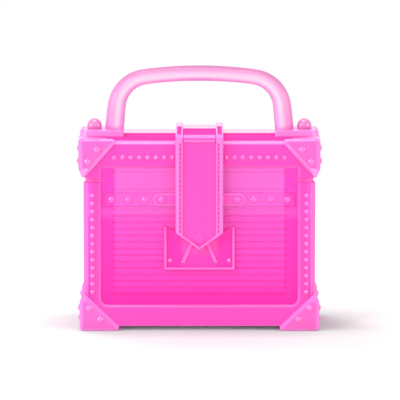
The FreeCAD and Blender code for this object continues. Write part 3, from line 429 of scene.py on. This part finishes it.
def lathe(shape, foot, axis, profile):
    """Turns a profile of (radius, height) pairs about an axis, and closes its foot and its top."""
    turn = axis.to_track_quat("Z", "Y")
    rings = []
    for radius, height in profile:
        ring = []
        for i in range(HEAD_SEGMENTS):
            angle = 2 * math.pi * i / HEAD_SEGMENTS
            spot = Vector((radius * math.cos(angle), radius * math.sin(angle), height))
            ring.append(shape.verts.new(foot + turn @ spot))
        rings.append(ring)
    for lower, upper in zip(rings, rings[1:]):
        for i in range(HEAD_SEGMENTS):
            j = (i + 1) % HEAD_SEGMENTS
            shape.faces.new((lower[i], lower[j], upper[j], upper[i]))
    shape.faces.new(reversed(rings[0]))
    shape.faces.new(rings[-1])


def dome_profile(radius, height, flange):
    """A short upright flange under the cap of a ball."""
    rise = min(height - flange, radius)
    ball = (radius**2 + rise**2) / (2 * rise)
    widest = math.asin(radius / ball)
    turns = [widest * (1 - i / HEAD_RINGS) for i in range(HEAD_RINGS)] + [widest * HEAD_CROWN]
    curve = [(ball * math.sin(turn), height - ball * (1 - math.cos(turn))) for turn in turns]
    return [(radius, AIR_GAP), *curve]


def head_seats(node):
    """Foot, axis, radius and height of each separate head in a packed group."""
    shape = bmesh.new()
    shape.from_mesh(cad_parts[node].data)
    bmesh.ops.remove_doubles(shape, verts=shape.verts, dist=WELD)
    left = set(shape.verts)
    seats = []
    while left:
        found, to_visit = set(), [next(iter(left))]
        while to_visit:
            corner = to_visit.pop()
            if corner not in found:
                found.add(corner)
                to_visit += [edge.other_vert(corner) for edge in corner.link_edges]
        left -= found
        spots = [corner.co for corner in found]
        low = Vector([min(spot[k] for spot in spots) for k in range(3)])
        high = Vector([max(spot[k] for spot in spots) for k in range(3)])
        size = high - low
        k = min(range(3), key=lambda n: size[n])
        middle = (low + high) / 2
        wide = max(spots, key=lambda spot: sum((spot[n] - middle[n]) ** 2 for n in range(3) if n != k))
        axis = Vector((0, 0, 0))
        axis[k] = 1.0 if wide[k] < middle[k] else -1.0
        foot = middle - axis * size[k] / 2
        seats.append((foot, axis, max(size) / 2, size[k]))
    shape.free()
    return sorted(seats, key=lambda seat: tuple(seat[0]))


def round_heads(node, name, material, body, slot, flange=HEAD_FLANGE):
    """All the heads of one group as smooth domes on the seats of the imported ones."""
    shape = bmesh.new()
    for foot, axis, radius, height in head_seats(node):
        lathe(shape, foot, axis, dome_profile(radius - AIR_GAP, height - AIR_GAP, flange * height))
    return show(shape, name, [material], body, slot, node)


head_plastic = dense_plastic("head_plastic", HEAD_PINKS, coat=HEAD_COAT, coat_ior=HEAD_COAT_IOR)
belt_head_plastic = dense_plastic("belt_head_plastic", TRIM_PINKS, coat=HEAD_COAT, coat_ior=HEAD_COAT_IOR)
for node, body, material in (
    ("belt_rivets", "base", belt_head_plastic), ("base_corner_rivets", "base", head_plastic),
    ("post_studs", "base", head_plastic), ("keeper_rivets", "base", head_plastic),
    ("base_hinge_rivets", "base", head_plastic), ("lid_corner_rivets", "lid", head_plastic),
    ("lid_studs", "lid", head_plastic), ("lid_hinge_rivets", "lid", head_plastic),
):
    round_heads(node, node + "_domed", material, body, "trim_plastic")

# Belt: the flat band that crosses the ribbed front inside its recess.
# It is moulded in the tub's pink, painted like the panels with a pale middle and deep ends as painted light
# and shade, and is held by its rivets.
BELT_ROUND = 0.0003
BELT_SHADE = (1.0, 0.72, 0.86)
BELT_MIDDLE_ZONES = ((0.055, (1.0, 0.165, 0.7)), (0.064, (1.0, 0.165, 0.7)))
BELT_END_ZONES = ((0.055, (1.0, 0.085, 0.6)), (0.064, (1.0, 0.085, 0.6)))
belt_light_and_shade = light_and_shade_by_height("belt_light_and_shade", BELT_MIDDLE_ZONES, BELT_END_ZONES, POCKET_LINE, POCKET_BLUR)
belt_plastic = dense_plastic("belt_plastic", paint=belt_light_and_shade, shade=BELT_SHADE)
belt_materials = (belt_plastic, belt_plastic)
moulded_copy("front_belt", "belt_strip", belt_materials, "base", "trim_plastic", BELT_ROUND)

# Hasp bar: the round-ended bar on the belt behind the strap.
# It is a thin moulding in the trim's pink, its rounded rim painted paler as a painted highlight, and is held
# by the belt's own rivets.
HASP_RIM_PINKS = ((1.0, 0.3, 0.76), (1.0, 0.27, 0.74))
HASP_ROUND = 0.00035
trim_plastic = dense_plastic("trim_plastic", TRIM_PINKS)
hasp_rim_highlight = dense_plastic("hasp_rim_highlight", HASP_RIM_PINKS)
hasp_shape = packed_solid("hasp_bar", whole_faces=True)
round_edges(hasp_shape, shortest=0.0)
for face in hasp_shape.faces:
    face.material_index = 0
hasp_materials = (trim_plastic, hasp_rim_highlight)
moulded_piece(
    hasp_shape, "hasp_plate", hasp_materials, "base", "trim_plastic", HASP_ROUND, "hasp_bar", rim=EDGE
)

# Keeper: the framed plate that the strap's tip drops into, with two slanted ribs and the snap's stud.
# It is moulded in the trim's pink and riveted to the front; its floor is painted darker towards both sides
# and paler in the middle, painted shade in the pocket, and its rim and slopes paler, a painted highlight.
# Its ribs are drawn wider and steeper than the imported ones.
TRIM_EDGE_PINKS = ((1.0, 0.18, 0.66), (1.0, 0.16, 0.64))
KEEPER_ROUND = 0.0003
KEEPER_FLOOR, KEEPER_RIM_DEPTH = 2, 0.0007
KEEPER_LINE, KEEPER_BLUR = 0.008, 0.0017
KEEPER_MIDDLE_ZONES = (
    (0.028, (1.0, 0.056, 0.5)), (0.0335, (1.0, 0.056, 0.5)), (0.0365, (1.0, 0.095, 0.54)),
    (0.044, (1.0, 0.1, 0.55)),
)
KEEPER_END_ZONES = ((0.028, (1.0, 0.032, 0.46)), (0.044, (1.0, 0.036, 0.48)))
RIB_EDGES = ((0.009, 0.0085), (0.008, 0.0067), (0.004, 0.0045), (0.003, 0.0027))
RIB_SLACK = 0.0002
trim_edge_highlight = dense_plastic("trim_edge_highlight", TRIM_EDGE_PINKS)
keeper_light_and_shade = light_and_shade_by_height("keeper_light_and_shade", KEEPER_MIDDLE_ZONES, KEEPER_END_ZONES, KEEPER_LINE, KEEPER_BLUR)
keeper_floor = dense_plastic("keeper_floor", paint=keeper_light_and_shade, shade=PLAIN)
keeper_shape = packed_solid("keeper_pocket")
for corner in keeper_shape.verts:
    for packed_edge, drawn_edge in RIB_EDGES:
        if abs(abs(corner.co.x) - packed_edge) < RIB_SLACK:
            corner.co.x = math.copysign(drawn_edge, corner.co.x)
            break
round_edges(keeper_shape)
keeper_out = min(corner.co.y for corner in keeper_shape.verts)
for face in keeper_shape.faces:
    if face.normal.y < -SLANT:
        deep = face.calc_center_median().y > keeper_out + KEEPER_RIM_DEPTH
        face.material_index = KEEPER_FLOOR if deep else EDGE
keeper_materials = (trim_plastic, trim_edge_highlight, keeper_floor)
moulded_piece(
    keeper_shape, "keeper_frame", keeper_materials, "base", "trim_plastic", KEEPER_ROUND, "keeper_pocket"
)
round_heads("snap_stud", "snap_stud_turned", head_plastic, "base", "strap_plastic")

# Rear hinges: two pairs of leaves with knuckles, on pins that let the lid swing up and back.
# Leaves and pins are moulded in the caps' pink, and each pair is riveted to the tub and to the lid.
LEAF_ROUND, PIN_ROUND = 0.0002, 0.0001
hinge_materials = (cap_plastic, cap_edge_highlight)
for side in ("left", "right"):
    for node, name, body, width in (
        (f"base_hinge_leaf_{side}", f"base_leaf_{side}", "base", LEAF_ROUND),
        (f"hinge_pin_{side}", f"pin_{side}", "base", PIN_ROUND),
        (f"lid_hinge_leaf_{side}", f"lid_leaf_{side}", "lid", LEAF_ROUND),
    ):
        moulded_copy(node, name, hinge_materials, body, "trim_plastic", width)

# Lid: the shallow half of the box, with a bevelled crown, a flat top and a skirt around the tub's rim.
# It is moulded in the tub's pink; its top is matt in front and glossier along the back, painted darker in
# front as painted shade and paler along the back as a painted reflection.
# The rear hinges carry it, and its lower edge is drawn down to close the seam with the tub.
LID_TOP_PINKS = ((0.82, 0.064, 0.41), (0.82, 0.057, 0.39))
LID_STRIP_PINKS = ((0.95, 0.2, 0.62), (0.95, 0.18, 0.6))
LID_EDGE_PINKS = ((1.0, 0.26, 0.7), (1.0, 0.23, 0.68))
STRIP_LINE = 0.0075
STRIP_COAT = 0.85
MATT_GLOSS, MATT_HAZE = 0.5, 0.6
LID_PANEL_DEPTH = 0.0012
LID_CROWN, LID_TOP_DEPTH = 0.004, 0.001
LID_CLOSER = 0.00034
LID_TOP, LID_STRIP, LID_PANEL, LID_EDGE, LID_GROOVE = 2, 3, 4, 5, 6
lid_top_painted_shade = dense_plastic("lid_top_painted_shade", LID_TOP_PINKS, coat=0.0, specular=0.0, gloss=MATT_GLOSS, haze=MATT_HAZE)
lid_strip_painted_reflection = dense_plastic("lid_strip_painted_reflection", LID_STRIP_PINKS, coat=STRIP_COAT)
# The crown's slanted faces take a paler pink, a painted highlight.
lid_crown_highlight = dense_plastic("lid_crown_highlight", LID_EDGE_PINKS)
lid_shape = packed_solid("lid_shell")
score(lid_shape, (0, STRIP_LINE, 0), (0, 1, 0))
round_edges(lid_shape)
mark_panels(lid_shape, LID_PANEL_DEPTH, LID_PANEL, LID_GROOVE)
lid_reach = [max(corner.co[k] for corner in lid_shape.verts) for k in range(2)]
lid_high = max(corner.co.z for corner in lid_shape.verts)
lid_low = min(corner.co.z for corner in lid_shape.verts)
for corner in lid_shape.verts:
    if corner.co.z < lid_low + AIR_GAP:
        corner.co.z = lid_low - LID_CLOSER
        for k in range(2):
            if abs(lid_reach[k] - abs(corner.co[k]) - LID_PANEL_DEPTH) < TOUCH:
                corner.co[k] -= math.copysign(PANEL_DEPTH - LID_PANEL_DEPTH, corner.co[k])
        leave_sharp(lid_shape, corner.link_edges)
for face in lid_shape.faces:
    middle = face.calc_center_median()
    if face.normal.z > SLANT and middle.z > lid_high - LID_TOP_DEPTH:
        face.material_index = LID_STRIP if middle.y > STRIP_LINE else LID_TOP
    elif face.material_index == EDGE and middle.z > lid_high - LID_CROWN:
        face.material_index = LID_EDGE
lid_materials = (tub_plastic, tub_edge_painted_light, lid_top_painted_shade, lid_strip_painted_reflection, panel_plastic, lid_crown_highlight, groove_plastic)
moulded_piece(lid_shape, "lid_moulding", lid_materials, "lid", "shell_plastic", TUB_ROUND, "lid_shell")

# Strap saddle: the part of the strap that lies over the lid, with two raised rails and a pin at its front.
# It is moulded in dense pink plastic, finished and painted like the lid on top, with the same painted shade
# and painted reflection, and fixed to the lid.
# The pin carries the tongue.
STRAP_PINKS = ((1.0, 0.086, 0.53), (1.0, 0.078, 0.51))
STRAP_EDGE_PINKS = ((1.0, 0.23, 0.7), (1.0, 0.2, 0.68))
STRAP_ROUND = 0.0003
SADDLE_TOP, SADDLE_STRIP = 2, 3
strap_plastic = dense_plastic("strap_plastic", STRAP_PINKS)
# The paler pink on slanted faces is a painted highlight.
strap_edge = dense_plastic("strap_edge", STRAP_EDGE_PINKS)
strap_pair = (strap_plastic, strap_edge)
saddle_shape = packed_solid("strap_saddle")
score(saddle_shape, (0, STRIP_LINE, 0), (0, 1, 0))
round_edges(saddle_shape)
for face in saddle_shape.faces:
    if face.normal.z > SLANT:
        face.material_index = SADDLE_STRIP if face.calc_center_median().y > STRIP_LINE else SADDLE_TOP
saddle_materials = (*strap_pair, lid_top_painted_shade, lid_strip_painted_reflection)
moulded_piece(
    saddle_shape, "saddle_strip", saddle_materials, "lid", "strap_plastic", STRAP_ROUND, "strap_saddle"
)
moulded_copy("strap_pin", "strap_hinge_pin", strap_pair, "lid", "strap_plastic", PIN_ROUND)

# Strap tongue: the pointed flap that hangs down the front, with raised rails, stitched grooves and a snap.
# It is one moulding in the saddle's pink, stitches and all, and swings on the pin by its lugs.
STRAP_GROOVE_PINKS = ((1.0, 0.05, 0.42), (1.0, 0.045, 0.4))
STRAP_BEAD_PINKS = ((1.0, 0.15, 0.6), (1.0, 0.13, 0.58))
STITCHES, STITCH_PITCH = 19, 0.00207
STITCH = (0.00046, 0.0003, 0.0012)
STITCH_LINE, STITCH_BACK, STITCH_LOW = 0.0087, -0.03, 0.0464
FACE_HALF, FACE_TOP, FACE_BACK = 0.0075, 0.08525, -0.0292
LIP = 0.00027
BEAD_EDGE = STITCH_LINE - 0.0003
GROOVE_SHALLOW, GROOVE_DEEP = 0.0003, 0.0007
TIP_SLOPE, SIDE_BAND = -0.3, 0.0003
TONGUE_GROOVE, TONGUE_BEAD = 2, 3
# The stitched grooves are painted darker, painted shade; the beads and the rails' fronts are painted paler,
# painted highlights, and the stitches take that paler pink too.
strap_groove_shade = dense_plastic("strap_groove_shade", STRAP_GROOVE_PINKS)
strap_bead_highlight = dense_plastic("strap_bead_highlight", STRAP_BEAD_PINKS)
tongue = packed_solid("strap_flap", joined=False, gap=0.0)
for corner in tongue.verts:
    at_top = abs(corner.co.x) < FACE_HALF and abs(corner.co.z - FACE_TOP) < TOUCH
    if at_top and corner.co.y < FACE_BACK:
        corner.co.z += LIP
round_edges(tongue)
tongue_front = min(corner.co.y for corner in tongue.verts)
tongue_side = max(corner.co.x for corner in tongue.verts)
for face in tongue.faces:
    middle = face.calc_center_median()
    depth = middle.y - tongue_front
    if face.normal.y < -SLANT and depth < TOUCH:
        face.material_index = TONGUE_BEAD if FACE_HALF < abs(middle.x) < BEAD_EDGE else EDGE
    elif face.normal.y < -SLANT and GROOVE_SHALLOW < depth < GROOVE_DEEP:
        face.material_index = TONGUE_GROOVE


def on_outline(face):
    """Whether a face belongs to the tongue's sides or its pointed tip."""
    return face.normal.z < TIP_SLOPE or abs(face.calc_center_median().x) > tongue_side - SIDE_BAND


inner_edges = [edge for edge in tongue.edges if not any(on_outline(face) for face in edge.link_faces)]
leave_sharp(tongue, inner_edges)
for i in range(STITCHES):
    for x in (-STITCH_LINE, STITCH_LINE):
        spot = Vector((x, STITCH_BACK - STITCH[1] / 2, STITCH_LOW + STITCH_PITCH * i))
        form = Matrix.Translation(spot) @ Matrix.Diagonal((*STITCH, 1.0))
        stitch = bmesh.ops.create_cube(tongue, size=1.0, matrix=form)
        for corner in stitch["verts"]:
            for edge in corner.link_edges:
                edge.smooth = False
            for face in corner.link_faces:
                face.material_index = EDGE
tongue_materials = (*strap_pair, strap_groove_shade, strap_bead_highlight)
moulded_piece(tongue, "strap_tongue", tongue_materials, "strap", "strap_plastic", STRAP_ROUND, "strap_flap")
round_heads("snap_cap", "snap_cap_domed", strap_plastic, "strap", "strap_plastic")

# Handle feet and domes: a wide plate under each leg of the handle, with a domed stud at its outer end.
# Both are moulded in pale pink plastic. The studs hold the plates down on the lid.
FOOT_PINKS = ((1.0, 0.33, 0.78), (1.0, 0.3, 0.76))
FOOT_EDGE_PINKS = ((1.0, 0.4, 0.82), (1.0, 0.36, 0.8))
DOME_PINKS = ((0.72, 0.21, 0.52), (0.72, 0.19, 0.5))
FOOT_ROUND = 0.0005
DOME_FLANGE = 0.32
foot_plastic = dense_plastic("foot_plastic", FOOT_PINKS)
# The paler pink on the plates' slopes is a painted highlight.
foot_edge = dense_plastic("foot_edge", FOOT_EDGE_PINKS)
foot_materials = (foot_plastic, foot_edge)
dome_plastic = dense_plastic("dome_plastic", DOME_PINKS, coat=HEAD_COAT, coat_ior=HEAD_COAT_IOR)
for side in ("left", "right"):
    node, name = f"handle_foot_{side}", f"foot_plate_{side}"
    moulded_copy(node, name, foot_materials, "lid", "handle_plastic", FOOT_ROUND, whole_faces=True)
    round_heads(f"dome_stud_{side}", f"dome_{side}", dome_plastic, "lid", "handle_plastic", DOME_FLANGE)

# Handle: the arched carrying bar, round in section and thicker in its two legs.
# It is a solid moulding in pale pink plastic, fixed on its feet, and painted palest towards the inside of
# the arch and deeper at its edges and where it turns up: painted light and shade.
ARCH_CENTRE, ARCH_PLANE = (0.0, 0.0, 0.092), (1.0, 0.0, 1.0)
ARCH_LIGHT_STOPS = (
    (-1.0, (0.62, 0.3, 0.6)), (-0.8, (0.8, 0.48, 0.78)), (-0.62, (0.9, 0.52, 0.82)),
    (-0.38, (1.0, 0.72, 0.9)), (-0.2, (1.0, 0.73, 0.86)), (0.05, (1.0, 0.54, 0.77)),
    (0.35, (0.97, 0.37, 0.65)), (0.7, (0.9, 0.3, 0.62)), (1.0, (0.72, 0.26, 0.56)),
)
UPWARD_SHADE = (0.7, 0.67, 0.7)
UPWARD_START, UPWARD_FULL = 0.2, 0.85
DOWNWARD = -0.99
HANDLE_SMOOTHING = 2


def arch_light_and_shade():
    """The handle's painted light and shade, by how far a face turns to the outside of the arch, and deeper
    if it turns up.
    """
    group = new_group("arch_light_and_shade", (), (("Tint", "Color"), ("Deep Tint", "Color")))
    nodes, links = group.nodes, group.links
    put, place = nodes.new("NodeGroupOutput"), nodes.new("ShaderNodeTexCoord")
    steps = [nodes.new("ShaderNodeVectorMath") for _ in range(4)]
    for step, kind in zip(steps, ("SUBTRACT", "MULTIPLY", "NORMALIZE", "DOT_PRODUCT")):
        step.operation = kind
    steps[0].inputs[1].default_value = ARCH_CENTRE
    steps[1].inputs[1].default_value = ARCH_PLANE
    links.new(place.outputs["Object"], steps[0].inputs[0])
    for before, after in zip(steps, steps[1:]):
        links.new(before.outputs["Vector"], after.inputs[0])
    links.new(place.outputs["Normal"], steps[3].inputs[1])
    spread, ramp = nodes.new("ShaderNodeMapRange"), nodes.new("ShaderNodeValToRGB")
    spread.inputs["From Min"].default_value = -1.0
    links.new(steps[3].outputs["Value"], spread.inputs["Value"])
    set_stops(ramp, [((turn + 1.0) / 2, tint) for turn, tint in ARCH_LIGHT_STOPS])
    links.new(spread.outputs["Result"], ramp.inputs["Fac"])
    axes, upward = nodes.new("ShaderNodeSeparateXYZ"), nodes.new("ShaderNodeMapRange")
    upward.interpolation_type = "SMOOTHSTEP"
    upward.inputs["From Min"].default_value = UPWARD_START
    upward.inputs["From Max"].default_value = UPWARD_FULL
    links.new(place.outputs["Normal"], axes.inputs["Vector"])
    links.new(axes.outputs["Z"], upward.inputs["Value"])
    deeper = multiplied(nodes, links, ramp.outputs["Color"])
    deeper.inputs["B"].default_value = (*UPWARD_SHADE, 1.0)
    links.new(upward.outputs["Result"], deeper.inputs["Factor"])
    for label in ("Tint", "Deep Tint"):
        links.new(deeper.outputs["Result"], put.inputs[label])
    return group


handle_plastic = dense_plastic("handle_plastic", paint=arch_light_and_shade())
handle_shape = packed_solid("handle")
leg_ends = [face for face in handle_shape.faces if face.normal.z < DOWNWARD]
bmesh.ops.dissolve_faces(handle_shape, faces=leg_ends)
crease = handle_shape.edges.layers.float.new("crease_edge")
for face in handle_shape.faces:
    if face.normal.z < DOWNWARD:
        for edge in face.edges:
            edge[crease] = 1.0
handle = show(handle_shape, "handle_bar", [handle_plastic], "lid", "handle_plastic", "handle")
smooth = handle.modifiers.new("smooth", "SUBSURF")
smooth.levels = smooth.render_levels = HANDLE_SMOOTHING

# Table: a matt white board that the box stands on, fading into the white room before its edge.
# Its white is painted darker and greyer close to the box by an occlusion node, a painted shadow where the
# box and its caps keep the room's light off it, tinted a little green to offset the pink that the box
# throws.
FLOOR_HALF = 0.7
FLOOR_ROUGHNESS, FLOOR_SPECULAR = 0.9, 0.1
FLOOR_SHADES = (
    (0.0, (0.98, 0.98, 0.98)), (0.3, (0.62, 0.67, 0.64)), (0.6, (0.62, 0.75, 0.68)),
    (0.85, (0.7, 0.8, 0.74)), (1.0, (0.84, 0.87, 0.85)),
)
FADE_START, FADE_END = 0.15, 0.6
CONTACT_REACH, CONTACT_SAMPLES = 0.03, 8
floor_mesh = bpy.data.meshes.new("floor")
floor_shape = bmesh.new()
bmesh.ops.create_grid(floor_shape, x_segments=1, y_segments=1, size=FLOOR_HALF)
floor_shape.to_mesh(floor_mesh)
floor_shape.free()
floor = bpy.data.objects.new("floor", floor_mesh)
bpy.context.scene.collection.objects.link(floor)
white = bpy.data.materials.new("white_table")
white.use_nodes = True
nodes, links = white.node_tree.nodes, white.node_tree.links
board = nodes["Principled BSDF"]
board.inputs["Roughness"].default_value = FLOOR_ROUGHNESS
board.inputs["Specular IOR Level"].default_value = FLOOR_SPECULAR
close, shade = nodes.new("ShaderNodeAmbientOcclusion"), nodes.new("ShaderNodeValToRGB")
close.samples = CONTACT_SAMPLES
close.inputs["Distance"].default_value = CONTACT_REACH
set_stops(shade, FLOOR_SHADES)
links.new(close.outputs["AO"], shade.inputs["Fac"])
links.new(shade.outputs["Color"], board.inputs["Base Color"])
place, reach = nodes.new("ShaderNodeTexCoord"), nodes.new("ShaderNodeVectorMath")
reach.operation = "LENGTH"
links.new(place.outputs["Object"], reach.inputs[0])
fade = nodes.new("ShaderNodeMapRange")
fade.interpolation_type = "SMOOTHSTEP"
fade.inputs["From Min"].default_value = FADE_START
fade.inputs["From Max"].default_value = FADE_END
links.new(reach.outputs["Value"], fade.inputs["Value"])
gone, both = nodes.new("ShaderNodeBsdfTransparent"), nodes.new("ShaderNodeMixShader")
links.new(fade.outputs["Result"], both.inputs["Fac"])
links.new(board.outputs["BSDF"], both.inputs[1])
links.new(gone.outputs["BSDF"], both.inputs[2])
links.new(both.outputs["Shader"], nodes["Material Output"].inputs["Surface"])
floor_mesh.materials.append(white)

# Room and lamps: white surroundings that light the box evenly, with five soft lamps turned towards it.
# The lamp behind is kept out of reflections and throws the soft shadow in front of the box.
AMBIENT = 0.75
LAMP_AIM = Vector((0, 0, 0.06))
world = bpy.data.worlds.new("white_room")
bpy.context.scene.world = world
world.use_nodes = True
nodes, links = world.node_tree.nodes, world.node_tree.links
sky, ray = nodes["Background"], nodes.new("ShaderNodeLightPath")
sky.inputs["Color"].default_value = (1.0, 1.0, 1.0, 1.0)
seen, clear = nodes.new("ShaderNodeMath"), nodes.new("ShaderNodeMath")
seen.operation = clear.operation = "MAXIMUM"
links.new(ray.outputs["Is Camera Ray"], seen.inputs[0])
links.new(ray.outputs["Is Glossy Ray"], seen.inputs[1])
links.new(seen.outputs["Value"], clear.inputs[0])
links.new(ray.outputs["Is Transmission Ray"], clear.inputs[1])
level = nodes.new("ShaderNodeMapRange")
level.inputs["To Min"].default_value = AMBIENT
links.new(clear.outputs["Value"], level.inputs["Value"])
links.new(level.outputs["Result"], sky.inputs["Strength"])


def softbox(name, place, width, height, power, mirrored=True):
    """A studio lamp turned towards the box."""
    data = bpy.data.lights.new(name, "AREA")
    data.shape = "RECTANGLE"
    data.size, data.size_y = width, height
    data.energy = power
    lamp = bpy.data.objects.new(name, data)
    lamp.location = place
    lamp.rotation_euler = (LAMP_AIM - Vector(place)).to_track_quat("-Z", "Y").to_euler()
    lamp.visible_glossy = mirrored
    bpy.context.scene.collection.objects.link(lamp)


softbox("overhead", (-0.05, -0.09, 0.75), 0.45, 0.12, 1.3)
softbox("behind", (-0.2, 0.4, 0.6), 0.3, 0.2, 1.6, mirrored=False)
softbox("left", (-0.8, -0.4, 0.25), 0.4, 0.4, 2.2)
softbox("right", (0.8, -0.4, 0.25), 0.4, 0.4, 1.6)
softbox("key", (-0.6, -0.9, 0.8), 0.3, 0.3, 3.0)

# Camera: a long lens square to the front of the box and a little above it, as the photograph was taken.
# Light may bounce often, because the pale walls pass it on to each other.
AIM = Vector((0.00027, -0.027, 0.0594))
PITCH = math.radians(6.6)
DISTANCE, CLIP_END = 2.65, 20.0
LENS, SENSOR = 529.0, 36.0
BOUNCES, DIFFUSE_BOUNCES = 32, 12
camera_data = bpy.data.cameras.new("camera")
camera_data.lens = LENS
camera_data.sensor_width = SENSOR
camera_data.clip_end = CLIP_END
camera = bpy.data.objects.new("camera", camera_data)
camera.location = AIM + Vector((0, -math.cos(PITCH), math.sin(PITCH))) * DISTANCE
camera.rotation_euler = (math.pi / 2 - PITCH, 0, 0)
scene = bpy.context.scene
scene.collection.objects.link(camera)
scene.camera = camera
scene.view_settings.view_transform = "Standard"
scene.cycles.max_bounces = BOUNCES
scene.cycles.transmission_bounces = BOUNCES
scene.cycles.diffuse_bounces = DIFFUSE_BOUNCES
